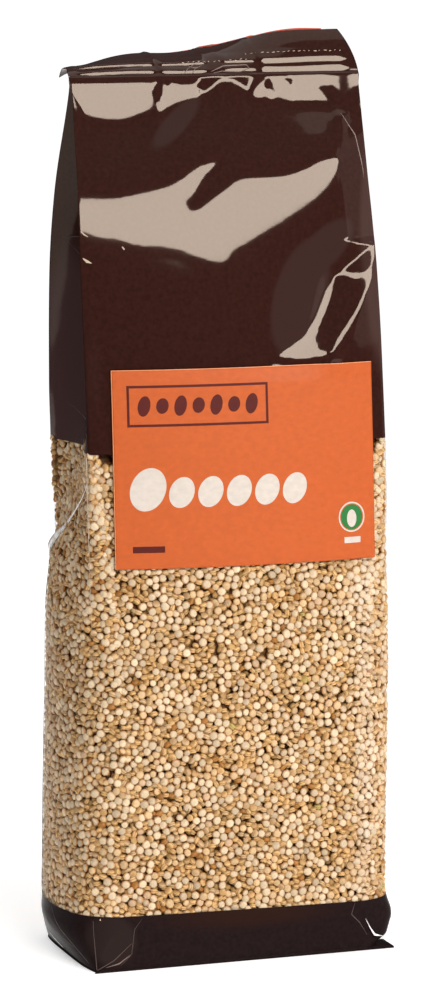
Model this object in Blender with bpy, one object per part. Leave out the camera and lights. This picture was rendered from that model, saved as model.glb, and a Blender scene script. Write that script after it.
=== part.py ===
"""A standing side-gusset bag of quinoa: printed film, a clear window on the grain, a paper label.

Frame: +Z up, the front panel faces -Y, origin on the floor under the middle of the bag's box. Metres.
The shapes are worked out round the middle of the film tube, and the last step moves them to the origin.
The bag is one solid, lofted from outlines at rising heights. Each outline runs round the front
panel, the right gusset, the back panel and the left gusset. Above the grain the panels lean
together into a seal, and the film above the seal is a ribbed fin that leans back.
"""

import math

import bmesh
import bpy
import numpy as np
from mathutils import Matrix

MM = 0.001

# The film tube
HALF_WIDTH = 44.0 * MM
BASE_HALF_DEPTH = 27.0 * MM
PRINT_HALF_DEPTH = 21.5 * MM
SEAL_HALF_DEPTH = 0.6 * MM
GUSSET_HALF_LENGTH = 27.5 * MM
FILL_Z = 142.0 * MM
PRINT_LOW_Z = 15.2 * MM
PRINT_HIGH_Z = 147.5 * MM
SEAL_Z = 251.0 * MM
LEAN_RIGHT = 1.2 * MM

# Panels and gussets
FRONT_BULGE = 5.5 * MM
BACK_BULGE = 4.0 * MM
SIDE_BULGE = 5.7 * MM
CREASE_FRONT_Z = 136.0 * MM
CREASE_BACK_Z = 114.0 * MM

# The base: its edges are folded round, and the flat bottom seal sticks out under the front's right
BASE_ROUND_HEIGHT = 6.0 * MM
BASE_ROUND_INSET = 0.9 * MM
BASE_SKEW = 2.4 * MM
FLAP_THICK = 1.1 * MM
FLAP_WIDTH = 9.5 * MM
FLAP_LEFT = (-44.4 * MM, -30.0 * MM)
FLAP_RIGHT = (47.0 * MM, -23.8 * MM)

# The fin above the seal
FIN_LENGTH = 14.5 * MM
FIN_INSET_LEFT = 0.6 * MM
FIN_INSET_RIGHT = 3.4 * MM
RIB_PITCH = 2.75 * MM
RIB_DEPTH = 0.4 * MM
RIBBED_LENGTH = 8.0 * MM

# The lap seam down the back
SEAM_HALF_WIDTH = 5.0 * MM
SEAM_THICK = 0.4 * MM

# The label on the front and the strip behind the fin
GAP = 0.3 * MM
LABEL_WIDTH = 77.0 * MM
LABEL_HEIGHT = 55.9 * MM
LABEL_CENTRE = (2.1 * MM, 142.4 * MM)
LABEL_TILT = math.radians(0.1)
LABEL_THICK = 0.35 * MM
STRIP_THICK = 0.35 * MM
STRIP_LEFT_X = -9.0 * MM
STRIP_RIGHT_X = 29.0 * MM
STRIP_LOW = 9.6 * MM
STRIP_PROUD = 2.4 * MM

# Points of an outline: on the front, each corner, each gusset and the back
FRONT_POINTS = 25
CORNER_POINTS = 3
SIDE_POINTS = 11
BACK_HALF_STEPS = (0.0, 0.9, 1.1, 2.6, 4.2, 5.8, 7.4, 9.0)

# Lobes of the long buckle across the upper front: x, z, radius at both ends, in mm
BUCKLE_LOBES = (
    (-43, 205, 8, -14, 210, 9),
    (-16, 211, 6, 1, 226, 1),
    (-14, 206, 9, 8, 202, 9),
    (8, 205, 9, 24, 214, 7),
    (24, 214, 7, 38, 226, 1),
)
BUCKLE_STEEPNESS = 0.17
BUCKLE_TOP_Z = 243.0 * MM
BUCKLE_FOOT_Z = 172.0 * MM

# Puckers just under the seal: x, width, height, depth, in mm
PUCKERS = (
    (-15.5, 1.6, 7.0, 0.9),
    (-2.0, 1.8, 6.0, 1.0),
    (4.0, 3.5, 8.0, -1.1),
    (11.5, 1.6, 6.5, 1.0),
    (18.0, 1.5, 6.0, 0.8),
    (33.0, 4.5, 9.0, 0.8),
)

# Two ridges of the dented fold low on the right of the front: x, z at both ends, height, in mm
FOLD_RIDGES = (
    (20, 172, 36, 197, 1.1),
    (36, 197, 43, 205, 0.8),
    (33, 172, 43, 190, 0.9),
)
FOLD_REACH = 2.6 * MM


def smooth(value, low, high):
    """0 below low, 1 above high, with an even slope at both."""
    t = np.clip((value - low) / (high - low), 0.0, 1.0)
    return t * t * (3.0 - 2.0 * t)


def half_depth(z):
    """Half the distance between the front and back creases at height z."""
    low = BASE_HALF_DEPTH - (BASE_HALF_DEPTH - PRINT_HALF_DEPTH) * (max(z, 0.0) / PRINT_HIGH_Z) ** 1.5
    if z < PRINT_HIGH_Z:
        return low
    t = min((z - PRINT_HIGH_Z) / (SEAL_Z - PRINT_HIGH_Z), 1.0)
    return PRINT_HALF_DEPTH * (1.0 - 0.36 * t - 0.64 * t**3) + SEAL_HALF_DEPTH * t


def half_width(z):
    wider = 0.4 * MM * smooth(z, 100 * MM, 140 * MM)
    return HALF_WIDTH + wider - 1.4 * MM * smooth(z, 195 * MM, SEAL_Z)


def lean(z):
    """How far the bag's middle is to the right of its base at height z."""
    back = LEAN_RIGHT * smooth(z, 130 * MM, 215 * MM) - 1.0 * MM * smooth(z, 218 * MM, SEAL_Z)
    return LEAN_RIGHT * smooth(z, 10 * MM, 100 * MM) - back


def corner_radius(z, at_base):
    """Rounded over the grain, and a sharp crease above it. at_base is the radius at the floor."""
    radius = at_base + (9.0 * MM - at_base) * smooth(z, 0.0, PRINT_LOW_Z)
    radius -= 4.5 * MM * smooth(z, 30 * MM, 110 * MM) + 3.6 * MM * smooth(z, 100 * MM, 143 * MM)
    return min(radius, 0.6 * half_depth(z))


def base_inset(z):
    return BASE_ROUND_INSET * (1.0 - math.sqrt(1.0 - max(1.0 - z / BASE_ROUND_HEIGHT, 0.0) ** 2))


def panel_bulge(z, most):
    """The panels are fullest over the grain and its top, and flat at the base and the seal."""
    return most * float(smooth(z, 0.0, 70 * MM)) * (1.0 - float(smooth(z, 165 * MM, SEAL_Z)) ** 0.8)


def side_bulge(z):
    return SIDE_BULGE * float(smooth(z, 0.0, 12 * MM)) * (1.0 - float(smooth(z, 95 * MM, 135 * MM)))


def gusset_fold(z, across):
    """Inward depth of the gusset's middle crease. across is -1 at the front crease, 1 at the back."""
    start = CREASE_FRONT_Z + (CREASE_BACK_Z - CREASE_FRONT_Z) * (across + 1.0) / 2.0
    full = math.sqrt(max(GUSSET_HALF_LENGTH**2 - half_depth(z) ** 2, 0.0))
    opening = smooth(z, start, start + 62 * MM) * (1.0 - smooth(z, SEAL_Z - 16 * MM, SEAL_Z))
    return 0.85 * full * opening


def lobe(x, z, ends):
    """1 inside a rounded bar from one end to the other, falling to 0 over a short edge."""
    x0, z0, r0, x1, z1, r1 = (value * MM for value in ends)
    length2 = (x1 - x0) ** 2 + (z1 - z0) ** 2
    along = np.clip(((x - x0) * (x1 - x0) + (z - z0) * (z1 - z0)) / length2, 0.0, 1.0)
    away = np.hypot(x - x0 - along * (x1 - x0), z - z0 - along * (z1 - z0))
    radius = r0 + along * (r1 - r0)
    return smooth(radius - away, -1.5 * MM, 1.5 * MM)


def buckle(x, z):
    """Outward relief of the long buckle: steep inside its lobes, and eased back above them."""
    heights = np.linspace(BUCKLE_TOP_Z, BUCKLE_FOOT_Z, 120)
    step = heights[0] - heights[1]
    inside = np.zeros_like(heights)
    for ends in BUCKLE_LOBES:
        inside = np.maximum(inside, lobe(x, heights, ends))
    gained = BUCKLE_STEEPNESS * inside
    room = (1.0 - inside) * smooth(heights, BUCKLE_FOOT_Z, BUCKLE_FOOT_Z + 12 * MM)
    room *= 1.0 - smooth(heights, BUCKLE_TOP_Z - 12 * MM, BUCKLE_TOP_Z)
    eased = room * gained.sum() / max(room.sum(), 1e-9)
    relief = np.cumsum(gained - eased) * step
    return float(np.interp(z, heights[::-1], relief[::-1], left=0.0, right=0.0))


def puckers(x, z):
    total = 0.0
    for centre, width, height, depth in PUCKERS:
        across = (x - centre * MM) / (width * MM)
        down = (SEAL_Z - 1.5 * MM - z) / (height * MM)
        if down > -0.2:
            total -= depth * MM * math.exp(-across * across) * math.exp(-(down - 0.35) ** 2 * 5.0)
    return total


def fold_ridges(x, z):
    """The sharpest of the ridges that cross this point."""
    best = 0.0
    for x0, z0, x1, z1, height in FOLD_RIDGES:
        x0, z0, x1, z1 = x0 * MM, z0 * MM, x1 * MM, z1 * MM
        length2 = (x1 - x0) ** 2 + (z1 - z0) ** 2
        along = min(max(((x - x0) * (x1 - x0) + (z - z0) * (z1 - z0)) / length2, 0.0), 1.0)
        away = math.hypot(x - x0 - along * (x1 - x0), z - z0 - along * (z1 - z0))
        best = max(best, height * MM * max(1.0 - away / FOLD_REACH, 0.0) * (1.0 - 0.4 * along))
    return best


def front_relief(x, z):
    """Folds of the upper front, in the row frame, measured outwards. It fades at the side creases."""
    edge = 1.0 - float(smooth(abs(x - lean(z)), HALF_WIDTH - 5 * MM, HALF_WIDTH - 1 * MM))
    if z < BUCKLE_FOOT_Z - 6 * MM or z > SEAL_Z:
        return 0.0
    return edge * (buckle(x, z) + puckers(x, z) + fold_ridges(x, z))


def front_y(x, z):
    """The front panel's surface at x and z, away from its corners."""
    share = (x - lean(z)) / half_width(z)
    return -(half_depth(z) + panel_bulge(z, FRONT_BULGE) * (1.0 - share * share)) - front_relief(x, z)


def body_outline(z):
    """One outline of the body, as points (x, y), from the front's left end round to the left gusset."""
    inset = base_inset(z)
    a, front, back = half_width(z) - inset, -half_depth(z), half_depth(z) - inset
    sharp, right, rear = (corner_radius(z, at_base) for at_base in (1.5 * MM, 8.0 * MM, 6.0 * MM))
    points = [(x, front) for x in np.linspace(-(a - sharp), a - right, FRONT_POINTS)]

    def corner(cx, cy, r, start):
        for step in range(1, CORNER_POINTS + 1):
            angle = start + math.pi / 2 * step / (CORNER_POINTS + 1)
            points.append((cx + r * math.cos(angle), cy + r * math.sin(angle)))

    corner(a - right, front + right, right, -math.pi / 2)
    points += [(a, y) for y in np.linspace(front + right, back - rear, SIDE_POINTS)]
    corner(a - rear, back - rear, rear, 0.0)
    spread = [step / BACK_HALF_STEPS[-1] * (a - rear) for step in BACK_HALF_STEPS]
    spread[1:3] = [step * SEAM_HALF_WIDTH for step in BACK_HALF_STEPS[1:3]]
    points += [(x, back) for x in reversed(spread)] + [(-x, back) for x in spread[1:]]
    corner(-(a - rear), back - rear, rear, math.pi / 2)
    points += [(-a, y) for y in np.linspace(back - rear, front + sharp, SIDE_POINTS)]
    corner(-(a - sharp), front + sharp, sharp, math.pi)

    shaped = []
    for x, y in points:
        middle = 1.0 - (x / a) ** 2
        across = y / -front if y < 0 else y / back
        side = float(smooth(abs(x), a - right - 0.1 * MM, a))
        out = side_bulge(z) * (1.0 - across * across) * side
        out -= gusset_fold(z, across) * (1.0 - abs(across)) * side
        moved_x = x + math.copysign(1.0, x) * out + lean(z)
        if y < 0:
            moved_y = y + BASE_SKEW * x / a * float(smooth(PRINT_LOW_Z - z, 0.0, PRINT_LOW_Z))
            moved_y -= panel_bulge(z, FRONT_BULGE) * middle * abs(across)
            moved_y -= front_relief(moved_x, z) * across**4
        else:
            seam = SEAM_THICK if abs(x) < SEAM_HALF_WIDTH else 0.0
            moved_y = y + panel_bulge(z, BACK_BULGE) * middle * across
            ends = smooth(z, 4 * MM, 8 * MM) * (1.0 - smooth(z, SEAL_Z - 14 * MM, SEAL_Z - 4 * MM))
            moved_y += seam * across**4 * float(ends)
        shaped.append((moved_x, moved_y))
    return np.array(shaped)


def flap_outline(body):
    """The outline at the floor, where the flat seal lies under the front and sticks out at its right."""
    outline = body.copy()
    outline[:FRONT_POINTS] = np.linspace(FLAP_LEFT, FLAP_RIGHT, FRONT_POINTS)
    end = FRONT_POINTS + np.arange(CORNER_POINTS + 1)
    outline[end, 0] = FLAP_RIGHT[0]
    outline[end, 1] = FLAP_RIGHT[1] + FLAP_WIDTH * np.linspace(0.0, 1.0, len(end) + 1)[1:]
    return outline


def fin_lean(x):
    """The fin's lean at its foot and at its edge: it stands at the right and curls over at the left."""
    u = (x - lean(SEAL_Z)) / half_width(SEAL_Z)
    left = float(smooth(-u, -0.6, 0.3))
    tip = max(-u - 0.4, 0.0) / 0.6
    foot = math.radians(12.0 + 20.0 * left + 12.0 * tip)
    middle = math.radians(28.0 + 30.0 * left + 24.0 * tip * tip)
    return foot, 2.0 * middle - foot


def fin_point(x, s, offset):
    """A point of the fin: s along the film from the seal, offset behind its middle surface."""
    foot, edge = fin_lean(x)
    bend = (edge - foot) / FIN_LENGTH
    angle = foot + bend * s
    y = (math.cos(foot) - math.cos(angle)) / bend
    z = (math.sin(angle) - math.sin(foot)) / bend
    rib = RIB_DEPTH * math.sin(2.0 * math.pi * s / RIB_PITCH) * (1.0 - float(smooth(s, RIBBED_LENGTH, RIBBED_LENGTH + 1.2 * MM)))
    offset += rib * float(smooth(s, 0.0, 0.6 * MM))
    return (x, y + offset * math.cos(angle), SEAL_Z + z - offset * math.sin(angle))


def row_heights():
    """The height of each outline of the body above the flap, bottom to top."""
    base = [1.5, 3.0, 6.0, 10.0]
    wall = [28, 44, 60, 76, 90, 102, 112, 120, 128, 135]
    top = [154, 162, 169, *np.linspace(174, 236, 19), *np.linspace(239, SEAL_Z / MM - 2.4, 5)]
    rows = [z * MM for z in base] + [PRINT_LOW_Z] + [z * MM for z in wall]
    return rows + [FILL_Z, PRINT_HIGH_Z] + [z * MM for z in top] + [SEAL_Z]


def loft(name, rings, material_of_ring):
    """A closed mesh through rings of equally many points, with both ends filled."""
    mesh = bmesh.new()
    loops = [[mesh.verts.new(point) for point in ring] for ring in rings]
    count = len(rings[0])
    for level, (low, high) in enumerate(zip(loops, loops[1:])):
        for i in range(count):
            j = (i + 1) % count
            face = mesh.faces.new((low[i], low[j], high[j], high[i]))
            face.material_index = material_of_ring(level)
            face.smooth = True
    mesh.faces.new(list(reversed(loops[0])))
    mesh.faces.new(loops[-1])
    bmesh.ops.triangulate(mesh, faces=[f for f in mesh.faces if len(f.verts) > 4])
    bmesh.ops.recalc_face_normals(mesh, faces=mesh.faces)
    data = bpy.data.meshes.new(name)
    mesh.to_mesh(data)
    mesh.free()
    data.set_sharp_from_angle(angle=math.radians(40))
    return bpy.data.objects.new(name, data)


def material(name, colour, roughness):
    made = bpy.data.materials.new(name)
    made.use_nodes = True
    shader = made.node_tree.nodes["Principled BSDF"]
    shader.inputs["Base Color"].default_value = (*colour, 1.0)
    shader.inputs["Roughness"].default_value = roughness
    shader.inputs["Metallic"].default_value = 0.0
    return made


def make_bag():
    floor = flap_outline(body_outline(FLAP_THICK))
    rings = [[(x, y, z) for x, y in floor] for z in (0.0, FLAP_THICK)]
    rings += [[(x, y, z) for x, y in body_outline(z)] for z in row_heights()]
    top = np.array(rings[-1])
    wall_rings = len(rings)
    crests = np.arange(RIB_PITCH / 4, RIBBED_LENGTH, RIB_PITCH / 2)
    for s in [*crests, 9.4 * MM, 11.1 * MM, 12.8 * MM, FIN_LENGTH]:
        left = top[:, 0].min() + FIN_INSET_LEFT * (s / FIN_LENGTH) ** 1.5
        right = top[:, 0].max() - FIN_INSET_RIGHT * (s / FIN_LENGTH) ** 1.5
        across = np.interp(top[:, 0], (top[:, 0].min(), top[:, 0].max()), (left, right))
        rings.append([fin_point(x, s, y) for x, y in zip(across, top[:, 1])])

    def part_of(level):
        low = rings[level][0][2]
        if level >= wall_rings - 1 or low >= PRINT_HIGH_Z - 0.1 * MM or low < PRINT_LOW_Z - 0.1 * MM:
            return 0
        return 1

    bag = loft("bag", rings, part_of)
    bag.data.materials.append(material("printed_film", (0.045, 0.0145, 0.0115), 0.08))
    bag.data.materials.append(material("quinoa_behind_film", (0.60, 0.40, 0.20), 0.35))
    return bag


def plate(name, across, along, place, made_of):
    """A thin curved plate. place(i, j, side) gives a point, with side 0 on its inner face, 1 outside."""
    mesh = bmesh.new()
    sides = [[[mesh.verts.new(place(u, v, side)) for u in across] for v in along] for side in (0, 1)]
    rows, columns = len(along), len(across)
    for j in range(rows - 1):
        for i in range(columns - 1):
            for grid, turned in ((sides[0], False), (sides[1], True)):
                corners = [grid[j][i], grid[j][i + 1], grid[j + 1][i + 1], grid[j + 1][i]]
                mesh.faces.new(list(reversed(corners)) if turned else corners)
    rim = [(0, i) for i in range(columns)] + [(j, columns - 1) for j in range(1, rows)]
    rim += [(rows - 1, i) for i in range(columns - 2, -1, -1)] + [(j, 0) for j in range(rows - 2, 0, -1)]
    for (j0, i0), (j1, i1) in zip(rim, rim[1:] + rim[:1]):
        mesh.faces.new((sides[0][j0][i0], sides[0][j1][i1], sides[1][j1][i1], sides[1][j0][i0]))
    bmesh.ops.recalc_face_normals(mesh, faces=mesh.faces)
    data = bpy.data.meshes.new(name)
    mesh.to_mesh(data)
    mesh.free()
    data.materials.append(made_of)
    return bpy.data.objects.new(name, data)


def make_label():
    """The paper label: a rectangle laid over the front panel's curve, a little askew."""
    turn_x, turn_z = math.cos(LABEL_TILT), math.sin(LABEL_TILT)

    def place(u, v, side):
        x = LABEL_CENTRE[0] + u * turn_x - v * turn_z
        z = LABEL_CENTRE[1] + u * turn_z + v * turn_x
        return (x, front_y(x, z) - GAP - side * LABEL_THICK, z)

    across = np.linspace(-LABEL_WIDTH / 2, LABEL_WIDTH / 2, 17)
    along = np.linspace(-LABEL_HEIGHT / 2, LABEL_HEIGHT / 2, 11)
    return plate("front_label", across, along, place, material("label_paper", (0.78, 0.17, 0.04), 0.5))


def make_strip():
    """The orange strip behind the fin, whose upper edge shows above it near the middle."""

    def place(x, share, side):
        middle = (x - STRIP_LEFT_X) / (STRIP_RIGHT_X - STRIP_LEFT_X)
        top = FIN_LENGTH + STRIP_PROUD * math.sin(math.pi * middle) ** 0.5
        s = STRIP_LOW + (top - STRIP_LOW) * share
        return fin_point(x, s, SEAL_HALF_DEPTH + GAP + side * STRIP_THICK)

    across = np.linspace(STRIP_LEFT_X, STRIP_RIGHT_X, 13)
    along = np.linspace(0.0, 1.0, 5)
    return plate("closure_strip", across, along, place, material("strip_paper", (0.78, 0.17, 0.04), 0.5))


def main():
    for old in list(bpy.data.objects):
        bpy.data.objects.remove(old, do_unlink=True)
    group = bpy.data.collections.new("quinoa_bag")
    bpy.context.scene.collection.children.link(group)
    made = (make_bag(), make_label(), make_strip())
    corners = np.array([v.co for part in made for v in part.data.vertices])
    middle = (corners.min(axis=0) + corners.max(axis=0)) / 2
    for part in made:
        part.data.transform(Matrix.Translation((-middle[0], -middle[1], 0.0)))
        group.objects.link(part)


main()
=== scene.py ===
"""The looks of a standing side-gusset bag of quinoa: glossy film, a clear window, grain and a paper label.

Lengths are metres. Shapes are worked out round the middle of the film tube, as in the part's source, and
ORIGIN moves them to the row frame. The upper front's folds come from a slope field: each zone of the film
is tilted so that it does or does not face the softbox, and the tilt is summed down from there to a surface.
"""

import itertools
import math

import bpy
import numpy as np
from mathutils import Matrix, Vector


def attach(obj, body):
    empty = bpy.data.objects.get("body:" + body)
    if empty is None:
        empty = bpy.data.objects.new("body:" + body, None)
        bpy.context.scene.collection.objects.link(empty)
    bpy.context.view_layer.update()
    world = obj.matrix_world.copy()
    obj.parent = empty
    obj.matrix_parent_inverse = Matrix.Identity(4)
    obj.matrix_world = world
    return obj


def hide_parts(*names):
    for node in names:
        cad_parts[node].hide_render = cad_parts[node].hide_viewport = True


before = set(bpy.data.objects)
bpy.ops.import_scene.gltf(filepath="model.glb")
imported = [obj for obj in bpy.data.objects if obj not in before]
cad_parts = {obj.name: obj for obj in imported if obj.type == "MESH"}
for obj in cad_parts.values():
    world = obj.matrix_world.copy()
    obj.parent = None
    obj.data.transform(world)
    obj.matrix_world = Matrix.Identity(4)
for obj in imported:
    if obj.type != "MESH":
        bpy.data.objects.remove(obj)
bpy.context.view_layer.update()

MM = 0.001
SEED = 7
ORIGIN = (0.5852 * MM, -0.50846 * MM)

# The film tube, as in the part's source
HALF_WIDTH = 44.0 * MM
WIDER_MIDDLE = 0.4 * MM
NARROWER_TOP = 1.4 * MM
BASE_HALF_DEPTH = 27.0 * MM
PRINT_HALF_DEPTH = 21.5 * MM
SEAL_HALF_DEPTH = 0.6 * MM
GUSSET_HALF_LENGTH = 27.5 * MM
PRINT_LOW_Z = 15.2 * MM
PRINT_HIGH_Z = 147.5 * MM
PRINT_HIGH_RISE = 0.0187
SEAL_Z = 251.0 * MM
LEAN_RIGHT = 1.2 * MM
LEAN_TOP = 1.0 * MM
FRONT_BULGE = 5.5 * MM
BACK_BULGE = 4.0 * MM
SIDE_BULGE = 5.7 * MM
CREASE_FRONT_Z = 136.0 * MM
CREASE_BACK_Z = 114.0 * MM
BASE_ROUND_HEIGHT = 6.0 * MM
BASE_ROUND_INSET = 0.9 * MM
BASE_SKEW = 2.4 * MM
BASE_CORNERS = (1.5 * MM, 8.0 * MM, 6.0 * MM)
LOW_CORNER = 9.0 * MM
MIDDLE_CORNER = 4.5 * MM
HIGH_CORNER = 0.9 * MM
GUSSET_FOLD_SHARE = 0.85
GUSSET_STEP = 1.5 * MM
FOOT_BULGE_LEFT = 1.7 * MM
FOOT_BULGE_RIGHT = 2.3 * MM
RIGHT_BULGE_SHARE = 0.78
DENT_PULL = 0.29
FLAP_THICK = 1.1 * MM
FLAP_WIDTH = 9.5 * MM
FLAP_LEFT = (-44.4 * MM, -30.0 * MM)
FLAP_RIGHT = (47.0 * MM, -23.8 * MM)
FIN_LENGTH = 14.5 * MM
FIN_INSET_LEFT = 0.6 * MM
FIN_INSET_RIGHT = 4.2 * MM
# How far the fin leans back, in degrees: its middle and its foot, each with what the left and the tip add
FIN_LEAN = 28.0
FIN_LEAN_LEFT = 30.0
FOOT_LEAN = 12.0
FOOT_LEAN_LEFT = 20.0
FOOT_LEAN_TIP = 12.0
RIBBED_LENGTH = 8.0 * MM
# The pressed ribs: length from the seal and width, in mm
RIBS = ((1.75, 1.15), (4.55, 0.9))
RIB_ANGLE = math.radians(13.3)
# Where the ribs are pinched out: x, and the reach from none to full, in mm
RIB_PINCHES = ((-15.6, 0.2, 1.8), (1.5, 1.5, 4.0), (14.2, 0.2, 1.4))
STRIP_LEFT_X = -16.0 * MM
STRIP_RIGHT_X = 35.0 * MM
STRIP_LOW = 9.6 * MM
# The strip's upper edge: x, and how far it stands above the fin, in mm
STRIP_SHOWN_AT = ((-16, -8, 0, 14, 28, 35), (0.2, 0.6, 0.95, 0.85, 0.9, 0.6))
STRIP_THICK = 0.35 * MM
STRIP_OFFSET = 0.35 * MM
FIN_FACING = math.radians(25.0)
SEAM_HALF_WIDTH = 5.0 * MM
SEAM_THICK = 0.4 * MM

# Painted highlight ribbons: how far they stand off the film, and how thick they are
GLINT_LIFT = 0.02 * MM
GLINT_THICK = 0.06 * MM
# Painted highlights along fold edges on the front: (x, z) points in mm, and a width in mm at each
FRONT_GLINT_LINES = {
    "bright": (
        (((37.4, 9.8), (39.0, 6.9), (40.6, 4.6), (43.2, 4.0)), (0.1, 0.35, 0.7, 0.15)),
    ),
    "pale": (
        (((-43.6, 146.0), (-43.4, 120.0), (-43.0, 96.0)), (0.22, 0.18, 0.08)),
        (((-43.3, 209.2), (-42.3, 208.1), (-41.2, 207.5)), (0.2, 0.5, 0.1)),
        (((-43.0, 201.6), (-41.9, 200.7), (-40.6, 200.2)), (0.3, 0.85, 0.2)),
        (((-31.8, 204.6), (-31.2, 203.8)), (0.4, 0.4)),
    ),
    "dull": (
        (((37.0, 240.0), (40.6, 234.0), (42.0, 224.0), (42.8, 208.0)), (0.15, 0.45, 0.35, 0.15)),
        (((-41.0, 1.4), (-37.0, 2.2), (-33.6, 4.4)), (0.1, 0.45, 0.15)),
    ),
    "faint": (
        (((-43.6, 0.8), (-38.5, 3.2), (-33.0, 7.6)), (0.25, 0.3, 0.15)),
        (
            ((-29.6, 14.4), (-32.0, 11.4), (-32.6, 7.6), (-33.2, 4.6), (-36.5, 1.6)),
            (0.1, 0.2, 0.25, 0.2, 0.1),
        ),
        (((-44.0, 14.6), (-43.9, 7.0), (-43.7, 1.0)), (0.15, 0.2, 0.25)),
        (((34.0, 15.0), (33.0, 11.4), (35.6, 8.8), (38.2, 4.8)), (0.1, 0.3, 0.3, 0.1)),
    ),
}
# Painted highlights on left side fold edges: heights in mm, shares of the way to the back, and widths in mm
SIDE_GLINT_LINES = {
    "bright": (
        (
            (138.0, 134.0, 128.0, 122.5, 118.0, 114.3), (0.02, 0.15, 0.4, 0.62, 0.82, 0.99),
            (0.15, 0.4, 0.8, 1.5, 2.6, 3.8),
        ),
        ((22.0, 19.0, 15.5), (0.93, 0.97, 0.99), (0.1, 0.7, 0.2)),
        ((3.2, 2.2, 1.2), (0.85, 0.70, 0.56), (0.2, 0.5, 0.2)),
    ),
    "dull": (
        ((118.0, 80.0, 50.0, 17.0), (0.80, 0.84, 0.84, 0.80), (0.1, 0.22, 0.2, 0.1)),
    ),
    "faint": (
        ((206.5, 206.0, 205.5), (0.05, 0.5, 0.95), (0.1, 0.3, 0.15)),
        ((204.0, 192.0, 180.0), (0.9, 0.6, 0.12), (0.1, 0.25, 0.1)),
        ((158.0, 154.0, 147.0), (0.85, 0.6, 0.2), (0.1, 0.25, 0.1)),
        ((117.0, 80.0, 50.0, 17.0), (0.86, 0.90, 0.90, 0.85), (0.1, 0.35, 0.3, 0.1)),
        ((14.0, 9.0, 5.0, 2.0), (0.42, 0.30, 0.16, 0.05), (0.15, 0.3, 0.3, 0.15)),
        ((10.0, 7.0, 5.0), (0.62, 0.48, 0.20), (0.15, 0.25, 0.15)),
    ),
}
# Broken lines of painted highlights on the fin: each one's left and right end, and its length from the seal
GLINT_DASHES = ((-8.0 * MM, 11.0 * MM, 5.0 * MM), (11.0 * MM, 39.5 * MM, 7.1 * MM))
GLINT_DASH_PITCH = 1.55 * MM
# Painted highlights where the fin is crumpled: (x, length from the seal) points, and a width at each, in mm
FIN_GLINT_LINES = (
    (((0.0, 1.4), (4.0, 3.2), (10.6, 3.3), (11.4, 2.2)), (0.2, 0.45, 0.35, 0.2)),
    (((0.5, 0.9), (3.5, 1.5), (8.5, 1.2), (11.4, 2.2)), (0.2, 0.3, 0.3, 0.2)),
    (((-8.6, 0.6), (-6.6, 2.6), (-4.4, 4.4)), (0.12, 0.25, 0.12)),
    (((-6.0, 0.6), (-4.6, 2.4), (-2.2, 3.8)), (0.12, 0.25, 0.12)),
    (((-6.4, 3.4), (-5.0, 2.8), (-3.0, 3.1)), (0.12, 0.3, 0.12)),
)

# The label
LABEL_GAP = 0.3 * MM
LABEL_WIDTH = 77.0 * MM
LABEL_HEIGHT = 55.9 * MM
LABEL_CENTRE = (2.1 * MM, 142.4 * MM)
LABEL_TILT = math.radians(0.1)
LABEL_THICK = 0.35 * MM
INK_LIFT = 0.03 * MM

# Columns of the film's grid, round the bag: front, corner, side, corner, back, corner, side, corner
FRONT_COLUMNS = 160
CORNER_COLUMNS = 6
SIDE_COLUMNS = 46
BACK_COLUMNS = 60
FIN_ROWS = 90

# The camera, as found from the photograph, in the film tube's frame
CAMERA_AZIMUTH = 16.79
CAMERA_DISTANCE = 1.3899
CAMERA_HEIGHT = 0.3120
CAMERA_PIXELS = 4876.0
CAMERA_PITCH = 7.48
CAMERA_ROLL = -0.20
CAMERA_YAW = 0.022
LONG_SIDE_PIXELS = 1000.0

# The softbox that the film mirrors: its middle's azimuth and distance, and its lower and upper edge
KEY_AZIMUTH = 19.0
KEY_SPREAD = 54.0
KEY_DISTANCE = 1.6
KEY_LOW = 0.715
KEY_HIGH = 1.045
KEY_RADIANCE = 22.0

# The bright fold across the upper front, as (x, z) in mm: its lower edge, and its upper edge with a notch
FOLD_LOW = (
    (-46, 209.5), (-41.6, 209.3), (-38.5, 207.6), (-33.2, 207.2), (-29.5, 205.6), (-26.3, 204.9),
    (-20.0, 204.6), (-15.6, 203.9), (-12.0, 202.1), (-7.9, 200.3), (-4.2, 199.1), (-1.6, 199.9), (0.3, 202.9),
    (5.2, 205.0), (10.5, 207.6), (18.3, 211.3), (26.4, 216.1), (31.3, 220.2), (33.4, 223.4), (34.4, 227.9),
)
FOLD_HIGH = (
    (-46, 219.2), (-36.5, 218.4), (-30.9, 218.5), (-22.1, 220.0), (-17.0, 221.2), (-13.0, 223.1),
    (-8.4, 226.4), (-2.2, 227.6), (-6.5, 223.6), (-8.9, 220.2), (-12.0, 216.4), (-11.2, 214.4),
    (-9.0, 214.2), (-5.4, 216.6),
    (-1.1, 219.5), (2.0, 221.9), (4.6, 222.7), (12.9, 222.5), (17.8, 222.9), (22.7, 224.0), (28.5, 226.8),
    (34.4, 227.9),
)
# The line that parts the film above the bright fold from the film below it
FOLD_MIDDLE = ((-46, 214), (-9, 214.2), (34.4, 227.9), (46, 233))
# The lower edge of the bright band under the seal
BAND_LOW = (
    (-46, 243.0), (-43, 242.4), (-40, 241.6), (-37, 240.2), (-33, 239.4), (-29.5, 239.0), (-26.5, 239.4),
    (-24, 240.4), (-20, 241.6), (-15.5, 242.0), (-12, 243.6), (-8, 244.9), (-4.4, 245.9), (-2.6, 246.5),
    (-1.2, 247.5), (0, 248.8), (1.2, 249.8), (2.6, 250.2), (5, 249.8), (7.2, 248.5), (8.8, 246.8),
    (9.9, 245.7), (11, 245.1),
    (13, 244.8), (18, 244.8), (20, 244.0), (26, 243.8), (31, 243.5), (34, 242.7), (36, 241.6), (37.6, 240.4),
    (38.4, 238.6), (39.6, 236.0), (41, 240.0), (42.5, 246.0), (46, 246.0),
)
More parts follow.
